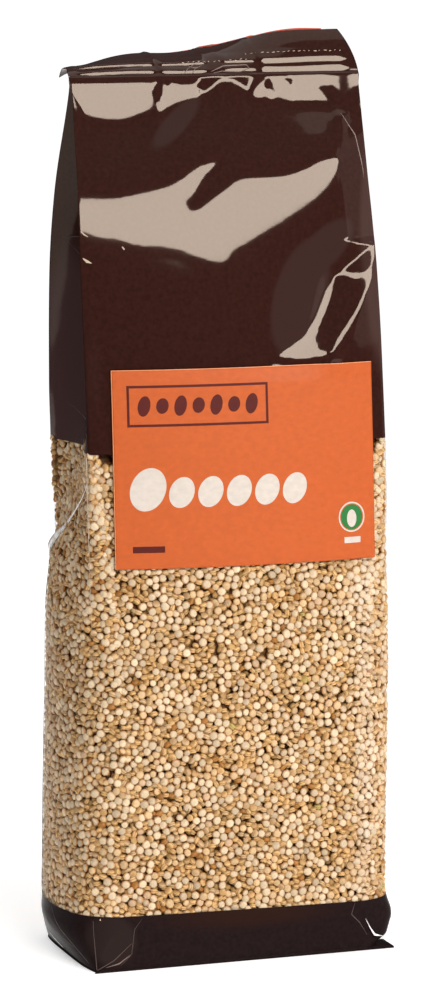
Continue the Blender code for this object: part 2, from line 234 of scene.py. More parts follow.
# Islands in that band, each with the share of the softbox's height that it faces, or looks past
ISLANDS = (
    (1.8, ((-46, 249.9), (-13, 249.7), (-13, 252), (-46, 252))),
    (2.2, (
        (-18.7, 246.6), (-18.2, 248.6), (-16.6, 250.0), (-15.7, 250.8), (-16.3, 247.5), (-16.7, 243.7),
        (-17.9, 244.4),
    )),
    (2.2, ((-15.2, 250.6), (-14.9, 249.3), (-14.2, 248.7), (-13.6, 249.2), (-14.6, 250.6))),
    (1.6, ((-13.4, 249.7), (-10.4, 248.7), (-6.0, 248.8), (-4.6, 250.0), (-4.0, 252.0), (-14.0, 252.0))),
    (-0.6, (
        (-5.8, 249.0), (-5.1, 247.6), (-3.9, 246.8), (-2.8, 246.9), (-1.5, 247.9), (0, 249.3), (1.2, 250.3),
        (2.6, 250.7), (5, 250.3), (7.2, 249.0), (8.8, 247.3), (9.8, 246.4), (10.2, 250.4), (10.0, 252),
        (-4.6, 252), (-4.8, 250.2),
    )),
    (1.6, ((10.4, 246.4), (12.2, 248.2), (14.8, 250.4), (14.4, 252.0), (10.6, 252.0))),
    (2.2, ((14.4, 248.3), (17.3, 246.1), (16.7, 248.4), (16.0, 250.6), (15.2, 250.2))),
    (2.0, ((19.8, 250.2), (21.8, 249.2), (21.7, 247.6), (22.4, 247.5), (22.6, 249.2), (23.0, 250.4))),
    (1.35, (
        (29.2, 247.8), (32, 248.2), (35, 247.4), (36.4, 246.0), (37.8, 244.4), (39, 245.6), (41, 247.2),
        (46, 249.0), (46, 244.0), (42, 240.0), (40.2, 236.0), (39.0, 239.0), (38.0, 241.0), (36, 242.5),
        (34, 243.8), (31.5, 245.6),
    )),
)
# The dented corner low on the right faces the softbox, except for two steeper facets, each with the film's
# slope down it and across it
DENT = (
    (10.8, 173.0), (20, 178.2), (24, 183.2), (28, 191.2), (31.8, 195.4), (42.8, 203.2), (42.5, 199.0),
    (42.0, 193.5), (38, 185.5), (34, 179.8), (28.5, 173.6), (25, 172.3), (20, 171.8), (14, 172.1),
)
DENT_FACETS = (
    (0.40, 0.28, (
        (31.0, 194.8), (33, 195), (38.6, 192.6), (38.8, 190.8), (38, 188.4), (35.8, 184.8), (31.6, 179.8),
        (29, 176.4), (27.8, 173.3), (26.5, 173.5), (25, 175), (24.2, 177.5), (24.8, 180.4), (27.4, 184.4),
        (29.8, 189.2), (30.7, 193),
    )),
    (0.38, 0.05, ((33.5, 196.1), (42.0, 202.2), (42.0, 199.5), (41.5, 197.3), (40.4, 195.9), (36, 195.5))),
)
TAIL_X = 34.4 * MM

# Grain
GRAIN_RADIUS = 1.35 * MM
GRAIN_THICK = 1.55 * MM
GRAIN_LOW_Z = 13.2 * MM
GRAIN_HIGH_Z = 142.8 * MM
GRAIN_SIDE_HIGH_Z = 148.5 * MM
GRAIN_PITCH = 2.06 * MM
INNER_PITCH = 2.45 * MM
INNER_DEPTH = 1.8 * MM
# Inner grains are painted darker than the outer ones, standing in for the shade behind them
INNER_PAINTED_SHADE = (0.62, 0.56, 0.45)
INNER_JITTER = 0.4 * MM
# Sizes and shades of single grains: mean, deviation, least and most
OUTER_SIZE = (0.97, 0.1, 0.76, 1.16)
OUTER_SHADE = (1.0, 0.11, 0.72, 1.22)
RIM_SHADE = (1.0, 0.13, 0.6, 1.3)
INNER_SIZE = (0.98, 0.08, 0.8, 1.2)
INNER_SHADE = (1.0, 0.15, 0.6, 1.4)
# How far a grain's axis strays, lying flat, on edge and in the inner layer
FLAT_WOBBLE = 0.26
EDGE_WOBBLE = 0.55
EDGE_OUTWARD = 0.12
INNER_WOBBLE = 0.6
# Height above which, and distance from the label's middle within which, the label hides each layer
OUTER_HIDDEN = (117.5 * MM, 35.5 * MM)
INNER_HIDDEN = (119 * MM, 34 * MM)
# Size and reach of a grain on edge next to one lying flat, and how deep in mm the two sink from the film
EDGE_SIZE = 0.9
EDGE_REACH = 0.84
SUNK = (0.45, 0.6)
FLAT_REACH = 0.90
INNER_REACH = 1.08
OUTER_ROUNDS = 14
INNER_ROUNDS = 5
PUSH_SHARE = 0.35
CORE_DEPTH = 2.6 * MM
GRAIN_CLEARANCE = 0.08 * MM
GRAIN_UNEVEN = 0.035
FACE_ON_SHARE = 0.50
# Painted reflection: grains near the window's right edge are tinted paler, standing in for the sheen of the
# film over them
SHEEN_VEIL_SHARE = 0.30
SHEEN_VEIL_X = 37.7 * MM
SHEEN_VEIL_REACH = 3.6 * MM
SHEEN_VEIL_TINT = np.array((0.76, 0.67, 0.57))
CREAM = np.array((0.67, 0.530, 0.360))
WHEAT = np.array((0.64, 0.445, 0.245))
ROSY = np.array((0.60, 0.410, 0.255))
HONEY = np.array((0.675, 0.430, 0.190))
RUSSET = np.array((0.38, 0.165, 0.040))
GREENISH = np.array((0.50, 0.410, 0.130))
# Tints of grains lying flat and on edge, each with the share of grains up to it
FLAT_TINTS = ((0.70, CREAM), (0.95, WHEAT), (1.0, ROSY))
EDGE_TINTS = ((0.68, HONEY), (0.94, WHEAT), (0.99, RUSSET), (1.0, GREENISH))
# Rim darkening of grains on edge and of inner grains: part own ring, part painted shade where grains touch
EDGE_RIM = 0.75
INNER_RIM = 0.6


def smooth(value, low, high):
    """0 below low, 1 above high, with an even slope at both."""
    t = np.clip((value - low) / (high - low), 0.0, 1.0)
    return t * t * (3.0 - 2.0 * t)


# Shape of the film tube

def half_depth(z):
    low = BASE_HALF_DEPTH - (BASE_HALF_DEPTH - PRINT_HALF_DEPTH) * (np.maximum(z, 0.0) / PRINT_HIGH_Z) ** 1.5
    t = np.clip((z - PRINT_HIGH_Z) / (SEAL_Z - PRINT_HIGH_Z), 0.0, 1.0)
    high = PRINT_HALF_DEPTH * (1.0 - 0.36 * t - 0.64 * t**3) + SEAL_HALF_DEPTH * t
    return np.where(z < PRINT_HIGH_Z, low, high)


def half_width(z):
    wider = WIDER_MIDDLE * smooth(z, 100 * MM, 140 * MM)
    return HALF_WIDTH + wider - NARROWER_TOP * smooth(z, 195 * MM, SEAL_Z)


def lean(z):
    back = LEAN_RIGHT * smooth(z, 130 * MM, 215 * MM) - LEAN_TOP * smooth(z, 218 * MM, SEAL_Z)
    return LEAN_RIGHT * smooth(z, 10 * MM, 100 * MM) - back


def corner_radius(z, at_base):
    radius = at_base + (LOW_CORNER - at_base) * smooth(z, 0.0, PRINT_LOW_Z)
    radius = radius + (MIDDLE_CORNER - LOW_CORNER) * smooth(z, 30 * MM, 110 * MM)
    radius = radius + (HIGH_CORNER - MIDDLE_CORNER) * smooth(z, 100 * MM, 143 * MM)
    return np.minimum(radius, 0.6 * half_depth(z))


def base_inset(z):
    return BASE_ROUND_INSET * (1.0 - np.sqrt(1.0 - np.maximum(1.0 - z / BASE_ROUND_HEIGHT, 0.0) ** 2))


def panel_bulge(z, most):
    return most * smooth(z, 0.0, 70 * MM) * (1.0 - smooth(z, 165 * MM, SEAL_Z) ** 0.8)


def side_bulge(z):
    return SIDE_BULGE * smooth(z, 0.0, 12 * MM) * (1.0 - smooth(z, 95 * MM, 135 * MM))


def gusset_fold(z, across):
    start = CREASE_FRONT_Z + (CREASE_BACK_Z - CREASE_FRONT_Z) * (across + 1.0) / 2.0
    full = np.sqrt(np.maximum(GUSSET_HALF_LENGTH**2 - half_depth(z) ** 2, 0.0))
    opening = smooth(z, start, start + 62 * MM) * (1.0 - smooth(z, SEAL_Z - 16 * MM, SEAL_Z))
    return GUSSET_FOLD_SHARE * full * opening


def foot_bulge(z, across, at_right):
    """How far the sides stand out near the floor: low and even at the left, a rounded lobe at the right."""
    left = FOOT_BULGE_LEFT * (1.0 - smooth(z, 2 * MM, 14 * MM)) * (1.0 - across**4)
    right = FOOT_BULGE_RIGHT * smooth(z, 1.0 * MM, 4.0 * MM) * (1.0 - smooth(z, 8 * MM, 16 * MM))
    return np.where(at_right, right, left)


def gusset_step(z, across):
    """The small sharp step where the gusset starts to fold in: an arc, widest at the back."""
    back = (across + 1.0) / 2.0
    start = CREASE_FRONT_Z + (CREASE_BACK_Z - CREASE_FRONT_Z) * back**0.8
    rise = smooth(z, start, start + (1.0 + 1.8 * back) * MM)
    gone = 1.0 - smooth(z, start + 14 * MM, start + 50 * MM)
    return GUSSET_STEP * (0.15 + 0.85 * smooth(back, 0.0, 0.9)) * rise * gone


# The folds of the upper front

FIELD_LOW_Z = 166.0 * MM
FIELD_STEP_X = 0.5 * MM
FIELD_STEP_Z = 0.5 * MM
FIELD_X = np.arange(-46.0 * MM, 46.0 * MM + 1e-9, FIELD_STEP_X)
FIELD_Z = np.arange(FIELD_LOW_Z, SEAL_Z + 1e-9, FIELD_STEP_Z)
# About the cosine of the angle from which the camera and the softbox see the front
MIRROR_STRETCH = 0.957
# Shares of the softbox's height: how far past its edges the dark film looks, and where the bright zones look
PAST_EDGE = 0.08
BAND_SHARE = 0.9
BAND_SHARE_FALL = 0.4
DENT_SHARE = 0.45
DENT_TILT = 0.02
BESIDE_SHARES = (-0.7, 1.8)
# Slope across the panel where it turns back to its side crease, low and high
TURN_TILT_LOW = -0.34
TURN_TILT_HIGH = -0.10
# How firmly the surface keeps a wanted slope down the film, a wanted slope across it, and its depth
HOLD_LEAST = 0.05
HOLD_NEAR_FOLD = 0.5
HOLD_NEAR_DENT = 0.25
HOLD_TILT = 0.04
HOLD_TILT_FOLD = 0.12
HOLD_TILT_BAND = 0.03
HOLD_TILT_DENT = 0.3
HOLD_TURN_LOW = 0.4
HOLD_TURN_HIGH = 0.1
HOLD_TURN_SLOPE = 0.02
HOLD_SIDE = 0.25
SETTLE_ROUNDS = 1500


def distance_to_line(x, z, points):
    """Distance from each point to the nearest piece of a line through points, given in mm."""
    best = np.full(x.shape, 1e9)
    for (x0, z0), (x1, z1) in zip(points, points[1:]):
        x0, z0, x1, z1 = x0 * MM, z0 * MM, x1 * MM, z1 * MM
        length2 = (x1 - x0) ** 2 + (z1 - z0) ** 2
        along = np.clip(((x - x0) * (x1 - x0) + (z - z0) * (z1 - z0)) / length2, 0.0, 1.0)
        best = np.minimum(best, np.hypot(x - x0 - along * (x1 - x0), z - z0 - along * (z1 - z0)))
    return best


def inside(x, z, points):
    """True where a point is inside the closed outline, by counting crossings."""
    odd = np.zeros(x.shape, bool)
    for (x0, z0), (x1, z1) in zip(points, points[1:] + points[:1]):
        x0, z0, x1, z1 = x0 * MM, z0 * MM, x1 * MM, z1 * MM
        if z0 == z1:
            continue
        crosses = (z0 > z) != (z1 > z)
        odd ^= crosses & (x < (x1 - x0) * (z - z0) / (z1 - z0) + x0)
    return odd


def line_height(x, points):
    """Height of a line that runs left to right, at x."""
    return np.interp(x, [p[0] * MM for p in points], [p[1] * MM for p in points])


def mirror_slope(z, share):
    """Slope of film that mirrors the softbox's lower edge at share 0 and its upper edge at share 1."""
    towards = np.arctan((CAMERA_HEIGHT - z) / CAMERA_DISTANCE)
    low = np.arctan((KEY_LOW - z) / KEY_DISTANCE)
    high = np.arctan((KEY_HIGH - z) / KEY_DISTANCE)
    light = low + (high - low) * share
    return np.tan((towards + light) / 2.0) / MIRROR_STRETCH


def plain_depth(x, z):
    """The front's distance from the middle, without folds. x is measured from the bag's leaning middle."""
    return half_depth(z) + panel_bulge(z, FRONT_BULGE) * (1.0 - (x / half_width(z)) ** 2)


def settle(depth, slope, tilt, hold_slope, hold_tilt, wanted, spring):
    """The surface whose slopes down and across, and depth, are nearest the wanted ones. Its end rows stay."""
    down = (slope[1:] + slope[:-1]) / 2
    firm = np.minimum(hold_slope[1:], hold_slope[:-1])
    side = (tilt[:, 1:] + tilt[:, :-1]) / 2
    loose = np.minimum(hold_tilt[:, 1:], hold_tilt[:, :-1])

    def pull(surface, down, side, wanted):
        out = spring * (surface - wanted)
        a = firm * ((surface[1:] - surface[:-1]) / FIELD_STEP_Z + down)
        out[1:] += a
        out[:-1] -= a
        b = loose * ((surface[:, 1:] - surface[:, :-1]) / FIELD_STEP_X - side)
        out[:, 1:] += b
        out[:, :-1] -= b
        out[0] = 0.0
        out[-1] = 0.0
        return out

    left = -pull(depth, down, side, wanted)
    step = left.copy()
    size = (left * left).sum()
    for _ in range(SETTLE_ROUNDS):
        bent = pull(step, 0.0, 0.0, 0.0)
        share = size / (step * bent).sum()
        depth = depth + share * step
        left = left - share * bent
        new_size = (left * left).sum()
        step = left + new_size / size * step
        size = new_size
    return depth


def fold_relief():
    """Outward relief of the upper front over plain_depth, on the field's grid."""
    x, z = np.meshgrid(FIELD_X, FIELD_Z)
    plain = plain_depth(x, z)
    start = plain_depth(FIELD_X, FIELD_LOW_Z)
    under_start, over_start = (plain_depth(FIELD_X, FIELD_LOW_Z + step) for step in (-1 * MM, 1 * MM))
    first = (under_start - over_start) / (2 * MM)
    bright = inside(x, z, FOLD_LOW + tuple(reversed(FOLD_HIGH)))
    to_low = distance_to_line(x, z, FOLD_LOW)
    to_high = distance_to_line(x, z, FOLD_HIGH)
    beyond = line_height(x, FOLD_MIDDLE)
    over = ~bright & (z > beyond)
    under = ~bright & ~over
    to_band = distance_to_line(x, z, BAND_LOW)
    band = z > line_height(x, BAND_LOW)
    edge_high = np.where(x > TAIL_X, np.abs(z - beyond), to_high)
    edge_low = np.where(x > TAIL_X, np.abs(z - beyond), to_low)
    lowest, highest = mirror_slope(z, -PAST_EDGE), mirror_slope(z, 1.0 + PAST_EDGE)

    # Below the bright fold the film steepens towards it, and in it every part mirrors the softbox
    run = (z - FIELD_LOW_Z) / (z - FIELD_LOW_Z + edge_low + 1e-9)
    slope = np.where(under, first + (lowest - first) * run**3, 0.0)
    up_fold = PAST_EDGE + (1.0 - 2.0 * PAST_EDGE) * to_low / (to_low + to_high + 1e-9)
    slope = np.where(bright, mirror_slope(z, up_fold), slope)
    up_band = BAND_SHARE - BAND_SHARE_FALL * smooth(to_band, 0.0, 4 * MM)
    slope = np.where(band, mirror_slope(z, up_band), slope)
    to_edge = np.minimum(np.minimum(edge_low, edge_high), to_band)
    for share, island in ISLANDS:
        slope = np.where(inside(x, z, island) & band, mirror_slope(z, share), slope)
        to_edge = np.minimum(to_edge, distance_to_line(x, z, island + island[:1]))
    # Above it the film is steeper, by as much as brings it to the seal
    above = over & ~band
    hump = smooth(edge_high, -1 * MM, 9 * MM) * smooth(to_band, -0.5 * MM, 5 * MM)
    slope = np.where(above, highest, slope)
    spare = start - SEAL_HALF_DEPTH - slope.sum(axis=0) * FIELD_STEP_Z
    room = np.maximum((hump * above).sum(axis=0) * FIELD_STEP_Z, 1e-6)
    slope = slope + above * hump * spare / room
    drop = np.cumsum((slope[1:] + slope[:-1]) / 2, axis=0) * FIELD_STEP_Z
    depth = start - np.vstack([np.zeros_like(FIELD_X), drop])
    depth[-1] = SEAL_HALF_DEPTH

    tilt = -2.0 * panel_bulge(z, FRONT_BULGE) * x / half_width(z) ** 2
    lit = bright | band
    near = 1.0 - smooth(to_edge, 0.0, 5 * MM)
    hold_slope = np.where(lit, 1.0, HOLD_LEAST + HOLD_NEAR_FOLD * near)
    hold_tilt = np.where(bright, HOLD_TILT_FOLD, np.where(band, HOLD_TILT_BAND, HOLD_TILT))
    # The dented corner: its bright parts face the softbox, and its facets are turned away from it sideways
    dent = inside(x, z, DENT)
    to_dent = distance_to_line(x, z, DENT + DENT[:1])
    around = 1.0 - smooth(to_dent, 0.0, 3 * MM)
    slope = np.where(dent, mirror_slope(z, DENT_SHARE), slope)
    hold_slope = np.where(dent, 1.0, hold_slope)
    firmer = np.maximum(HOLD_LEAST, HOLD_NEAR_FOLD * near) + HOLD_NEAR_DENT * around
    hold_slope = np.where(~dent & under, firmer, hold_slope)
    hold_tilt = np.where(dent, HOLD_TILT_DENT, hold_tilt)
    tilt = np.where(dent, DENT_TILT, tilt)
    for steep, sideways, facet in DENT_FACETS:
        within = inside(x, z, facet)
        slope = np.where(within, steep, slope)
        tilt = np.where(within, sideways, tilt)
    # Beyond the bright fold's tail the panel turns back to its side crease
    turned_back = (x > TAIL_X + 1 * MM) & (z > 204 * MM) & (z < 244 * MM) & ~band
    back_tilt = TURN_TILT_LOW + (TURN_TILT_HIGH - TURN_TILT_LOW) * smooth(z, 228 * MM, 240 * MM)
    back_hold = HOLD_TURN_LOW + (HOLD_TURN_HIGH - HOLD_TURN_LOW) * smooth(z, 226 * MM, 236 * MM)
    tilt = np.where(turned_back, back_tilt, tilt)
    hold_tilt = np.where(turned_back, back_hold, hold_tilt)
    hold_slope = np.where(turned_back, HOLD_TURN_SLOPE, hold_slope)
    slope = np.where(turned_back & (z > 226 * MM), highest, slope)
    beside = (x > TAIL_X - 0.3 * MM) & (x < TAIL_X + 4 * MM) & (z > 205 * MM) & (z < 240 * MM) & ~lit
    slope = np.where(beside, mirror_slope(z, np.where(z < 227.4 * MM, *BESIDE_SHARES)), slope)
    hold_slope = np.where(beside, 1.0, hold_slope)
    side = np.abs(x) > 43.4 * MM
    spring = np.where(side & (z < np.where(x > 0, 232 * MM, 226 * MM)), HOLD_SIDE, 0.0)
    return settle(depth, slope, tilt, hold_slope, hold_tilt, plain, spring) - plain


FOLD_RELIEF = fold_relief()


def front_relief(x, z):
    """Folds of the front, measured outwards, at x from the bag's leaning middle."""
    column = np.clip((x - FIELD_X[0]) / FIELD_STEP_X, 0, len(FIELD_X) - 1.001)
    row = np.clip((z - FIELD_LOW_Z) / FIELD_STEP_Z, 0, len(FIELD_Z) - 1.001)
    i, j = column.astype(int), row.astype(int)
    u, v = column - i, row - j
    low = FOLD_RELIEF[j, i] * (1 - u) + FOLD_RELIEF[j, i + 1] * u
    high = FOLD_RELIEF[j + 1, i] * (1 - u) + FOLD_RELIEF[j + 1, i + 1] * u
    found = low * (1 - v) + high * v
    return np.where(z <= SEAL_Z, found * smooth(z, FIELD_LOW_Z - 16 * MM, FIELD_LOW_Z - 1 * MM), 0.0)


def front_y(x, z):
    """The front's Y at x, with its folds."""
    x = x - lean(z)
    skew = BASE_SKEW * (x / half_width(z)) * smooth(PRINT_LOW_Z - z, 0.0, PRINT_LOW_Z)
    return skew - plain_depth(x, z) - front_relief(x, z)


def tube(z):
    """Points of the film at heights z, an array of rows by columns. Columns run round the bag."""
    inset = base_inset(z)
    a, front, back = half_width(z) - inset, -half_depth(z), half_depth(z) - inset
    sharp, right, rear = (corner_radius(z, at_base) for at_base in BASE_CORNERS)
    x, y = np.empty_like(z), np.empty_like(z)
    done = 0

    def fill(count, new_x, new_y):
        nonlocal done
        part = slice(done, done + count)
        x[:, part], y[:, part] = new_x(part), new_y(part)
        done += count

    def corner(cx, cy, r, start):
        turn = np.linspace(start, start + math.pi / 2, CORNER_COLUMNS + 2)[1:-1]
        fill(
            CORNER_COLUMNS,
            lambda p: cx[:, p] + r[:, p] * np.cos(turn),
            lambda p: cy[:, p] + r[:, p] * np.sin(turn),
        )

    t = np.linspace(0.0, 1.0, FRONT_COLUMNS)
    front_left, front_length = sharp - a, 2 * a - sharp - right
    fill(FRONT_COLUMNS, lambda p: front_left[:, p] + t * front_length[:, p], lambda p: front[:, p])
    corner(a - right, front + right, right, -math.pi / 2)
    t_side = np.linspace(0.0, 1.0, SIDE_COLUMNS)
    near_right, right_length = front + right, back - rear - front - right
    fill(SIDE_COLUMNS, lambda p: a[:, p], lambda p: near_right[:, p] + t_side * right_length[:, p])
    corner(a - rear, back - rear, rear, 0.0)
    t_back = np.linspace(1.0, -1.0, BACK_COLUMNS)
    fill(BACK_COLUMNS, lambda p: t_back * (a - rear)[:, p], lambda p: back[:, p])
    corner(-(a - rear), back - rear, rear, math.pi / 2)
    far_left, left_length = back - rear, front + sharp - back + rear
    fill(SIDE_COLUMNS, lambda p: -a[:, p], lambda p: far_left[:, p] + t_side * left_length[:, p])
    corner(-(a - sharp), front + sharp, sharp, math.pi)

    middle = 1.0 - (x / a) ** 2
    across = np.where(y < 0, y / -front, y / back)
    side = smooth(np.abs(x), a - right - 0.1 * MM, a)
    out = side_bulge(z) * (1.0 - across * across) * side * np.where(x > 0, RIGHT_BULGE_SHARE, 1.0)
    out = out + foot_bulge(z, across, x > 0) * side
    out = out - (gusset_fold(z, across) * (1.0 - np.abs(across)) + gusset_step(z, across)) * side
    at_dent = smooth(x, 30 * MM, 42 * MM) * across**4 * (y < 0)
    moved_x = x + np.sign(x) * out + lean(z) - DENT_PULL * front_relief(x, z) * at_dent
    skew = BASE_SKEW * x / a * smooth(PRINT_LOW_Z - z, 0.0, PRINT_LOW_Z)
    before = y + skew - panel_bulge(z, FRONT_BULGE) * middle * np.abs(across)
    before = before - front_relief(x, z) * across**4
    seam = SEAM_THICK * smooth(SEAM_HALF_WIDTH - np.abs(x), -0.5 * MM, 0.0)
    ends = smooth(z, 4 * MM, 8 * MM) * (1.0 - smooth(z, SEAL_Z - 14 * MM, SEAL_Z - 4 * MM))
    behind = y + panel_bulge(z, BACK_BULGE) * middle * across + seam * across**4 * ends
    return np.stack([moved_x, np.where(y < 0, before, behind), z + 0.0 * x], axis=-1)


COLUMNS = FRONT_COLUMNS + 4 * CORNER_COLUMNS + 2 * SIDE_COLUMNS + BACK_COLUMNS


def column_share():
    """Each column's place across the bag, -1 at the left and 1 at the right."""
    flat = np.ones(SIDE_COLUMNS + 2 * CORNER_COLUMNS)
    return np.concatenate([
        np.linspace(-1.0, 1.0, FRONT_COLUMNS), flat, np.linspace(1.0, -1.0, BACK_COLUMNS), -flat
    ])


def fin_lean(x):
    """The fin's lean back at its foot and at its edge: more at the left, and most at the left tip."""
    u = (x - lean(SEAL_Z)) / half_width(SEAL_Z)
    left = smooth(-u, -0.6, 0.3)
    tip = np.maximum(-u - 0.4, 0.0) / 0.6
    foot = np.radians(FOOT_LEAN + FOOT_LEAN_LEFT * left + FOOT_LEAN_TIP * tip)
    lower = 3.0 * (1.0 - smooth(u, 0.3, 0.75)) + 4.0 * np.exp(-(((u - 0.15) / 0.3) ** 2))
    middle = np.radians(FIN_LEAN + FIN_LEAN_LEFT * left + FIN_LEAN_LEFT * tip * tip + lower)
    return foot, 2.0 * middle - foot


def fin_angles(x, s):
    """The fin's lean at each point. Two pressed ribs lie flatter, so that they mirror the softbox."""
    foot, edge = fin_lean(x)
    lean_here = foot + (edge - foot) * s / FIN_LENGTH
    u = x / MM
    wide = 0.75 + 0.9 * smooth(u, 13.0, 15.5)
    pinched = np.prod([smooth(np.abs(u - at), *reach) for at, *reach in RIB_PINCHES], axis=0)
    ends = smooth(u, -41.0, -34.0) * (1.0 - smooth(u, 38.5, 41.5))
    flat = np.zeros(np.broadcast(x, s).shape)
    for number, (middle, width) in enumerate(RIBS):
        half = 0.5 * width * wide * pinched * ends * MM
        shifted = middle * MM + 0.18 * MM * np.sin(u / 5.0 + number)
        pressed = 1.0 - smooth(np.abs(s - shifted), half, half + 0.3 * MM)
        flat = np.maximum(flat, pressed * smooth(half, 0.0, 0.12 * MM))
    ribbed = 1.0 - smooth(s, RIBBED_LENGTH, RIBBED_LENGTH + 1.0 * MM)
    between = (1.0 - flat) * ribbed
    lost = (flat * (lean_here - RIB_ANGLE)).sum(axis=0) / np.maximum(between.sum(axis=0), 1e-6)
    return lean_here * (1.0 - flat) + RIB_ANGLE * flat + lost * between


def fin_points(x, s, offset):
    """Points of the fin, rows by columns: s along the film from the seal, offset behind its middle."""
    angle = fin_angles(x, s)
    step = np.diff(s, axis=0, prepend=0.0 * s[:1])
    y = np.cumsum(np.sin(angle) * step, axis=0)
    z = np.cumsum(np.cos(angle) * step, axis=0)
    behind, down = offset * np.cos(angle), offset * np.sin(angle)
    return np.stack([x + 0.0 * angle, y + behind, SEAL_Z + z - down], axis=-1)


FIN_LENGTHS = np.linspace(0.0, FIN_LENGTH, FIN_ROWS + 1)[1:, None]
FIN_THINNING = 1.0 - 0.72 * smooth(FIN_LENGTHS, 0.0, 0.9 * MM)


# Meshes

def linked(name, data):
    made = bpy.data.objects.new(name, data)
    bpy.context.scene.collection.objects.link(made)
    return made


def piece(name, points, faces, made_of, slot=None, replaces=(), colours=None):
    """A smooth-shaded mesh that rides on the bag. points are in the film tube's frame."""
    points = np.asarray(points, float).reshape(-1, 3) - (*ORIGIN, 0.0)
    faces = np.asarray(faces)
    mesh = bpy.data.meshes.new(name)
    sides = faces.shape[1]
    mesh.vertices.add(len(points))
    mesh.vertices.foreach_set("co", points.astype(np.float32).ravel())
    mesh.loops.add(faces.size)
    mesh.loops.foreach_set("vertex_index", faces.ravel().astype(np.int32))
    mesh.polygons.add(len(faces))
    mesh.polygons.foreach_set("loop_start", np.arange(0, faces.size, sides, dtype=np.int32))
    mesh.polygons.foreach_set("use_smooth", np.ones(len(faces), bool))
    if colours is not None:
        layer = mesh.color_attributes.new("tint", "FLOAT_COLOR", "POINT")
        values = np.column_stack([colours, np.ones(len(colours))])
        layer.data.foreach_set("color", values.astype(np.float32).ravel())
    mesh.update(calc_edges=True)
    mesh.validate()
    mesh.materials.append(made_of)
    made = linked(name, mesh)
    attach(made, "root")
    for node in replaces:
        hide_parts(node)


def grid_faces(rows, columns, closed):
    """Four-sided faces of a grid of points. closed joins the last column to the first."""
    across = np.arange(columns if closed else columns - 1)
    low = np.arange(rows - 1)[:, None] * columns
    here, there = across, (across + 1) % columns
    corners = [low + here, low + there, low + columns + there, low + columns + here]
    return np.stack(corners, axis=-1).reshape(-1, 4)


# Materials

class Nodes:
    """Adds nodes to a tree. An input, by name or number, is given another node's output or a constant."""

    def __init__(self, tree):
        self.tree = tree
        self.place = self.add("TexCoord", {})

    def fill(self, node, inputs):
        for name, given in inputs.items():
            if isinstance(given, bpy.types.NodeSocket):
                self.tree.links.new(given, node.inputs[name])
            else:
                node.inputs[name].default_value = given

    def add(self, kind, inputs, **settings):
        node = self.tree.nodes.new("ShaderNode" + kind)
        for name, value in settings.items():
            setattr(node, name, value)
        self.fill(node, inputs)
        return node

    def noise(self, scale, detail=2.0, vector=None):
        if vector is None:
            vector = self.place.outputs["Object"]
        return self.add("TexNoise", {"Scale": scale, "Detail": detail, "Vector": vector}).outputs["Fac"]

    def ramp(self, factor, *stops):
        """The colour between two stops, each a position and a colour."""
        node = self.add("ValToRGB", {"Fac": factor})
        for element, (position, colour) in zip(node.color_ramp.elements, stops):
            element.position = position
            element.color = (*colour, 1.0)
        return node.outputs["Color"]

    def bump(self, height, strength, distance, **settings):
        inputs = {"Height": height, "Strength": strength, "Distance": distance}
        return self.add("Bump", inputs, **settings).outputs["Normal"]

    def mix_shader(self, factor, first, second):
        inputs = {"Fac": factor, 1: first.outputs[0], 2: second.outputs[0]}
        return self.add("MixShader", inputs).outputs["Shader"]

    def painted_sheen_patch(self, centre, radii, turn, firm):
        """Mask of a patch of painted reflection: 1 within a firm share of a turned egg shape, given in mm,
        fading to 0 at its edge.
        """
        x, y, z = centre
        shift = self.add("Mapping", {
            "Location": (x * MM - ORIGIN[0], y * MM - ORIGIN[1], z * MM),
            "Rotation": (0.0, math.radians(turn), 0.0),
            "Scale": tuple(MM * r for r in radii),
            "Vector": self.place.outputs["Object"],
        }, vector_type="TEXTURE")
        length = self.add("VectorMath", {0: shift.outputs["Vector"]}, operation="LENGTH")
        return self.add("MapRange", {
            "Value": length.outputs["Value"], "From Min": firm, "From Max": SHEEN_FADE_END,
            "To Min": 1.0, "To Max": 0.0,
        }, interpolation_type="SMOOTHSTEP").outputs["Result"]


def new_material(name):
    """A material, its nodes and its shader."""
    made = bpy.data.materials.new(name)
    made.use_nodes = True
    return made, Nodes(made.node_tree), made.node_tree.nodes["Principled BSDF"]


def scaled(colour, share):
    return tuple(min(share * c, 1.0) for c in colour)


def film_material(name, colour, roughness, ior, level, tint, sheen_patches):
    """Printed film: dark ink under gloss, with faint mottling, fine waviness and lighter patches of painted
    reflection.
    """
    made, nodes, shader = new_material(name)
    mottle = nodes.noise(scale=900.0, detail=4.0)
    shown = nodes.ramp(mottle, (0.3, scaled(colour, 0.82)), (0.75, scaled(colour, 1.25)))
    for *patch, sheen_colour in sheen_patches:
        inputs = {"Factor": nodes.painted_sheen_patch(*patch), 6: shown, 7: (*sheen_colour, 1.0)}
        shown = nodes.add("Mix", inputs, data_type="RGBA").outputs[2]
    nodes.fill(shader, {
        "Base Color": shown, "Roughness": roughness, "IOR": ior,
        "Specular IOR Level": level, "Specular Tint": (*tint, 1.0),
        "Normal": nodes.bump(nodes.noise(scale=260.0, detail=3.0), strength=0.05, distance=0.0002),
    })
    return made


def clear_material(name):
    """Clear film: it lets light through and mirrors a little of it, most at a grazing angle."""
    made, nodes, shader = new_material(name)
    made.node_tree.nodes.remove(shader)
    normal = nodes.bump(nodes.noise(scale=300.0), strength=0.12, distance=0.0003)
    through = nodes.add("BsdfTransparent", {"Color": (0.985, 0.98, 0.97, 1.0)})
    gloss = nodes.add("BsdfGlossy", {"Roughness": 0.06, "Normal": normal})
    fresnel = nodes.add("Fresnel", {"IOR": 1.14, "Normal": normal})
    weaker = nodes.add("Math", {0: fresnel.outputs["Fac"], 1: 0.28}, operation="MULTIPLY")
    surface = nodes.mix_shader(weaker.outputs["Value"], through, gloss)
    nodes.fill(made.node_tree.nodes["Material Output"], {"Surface": surface})
    return made


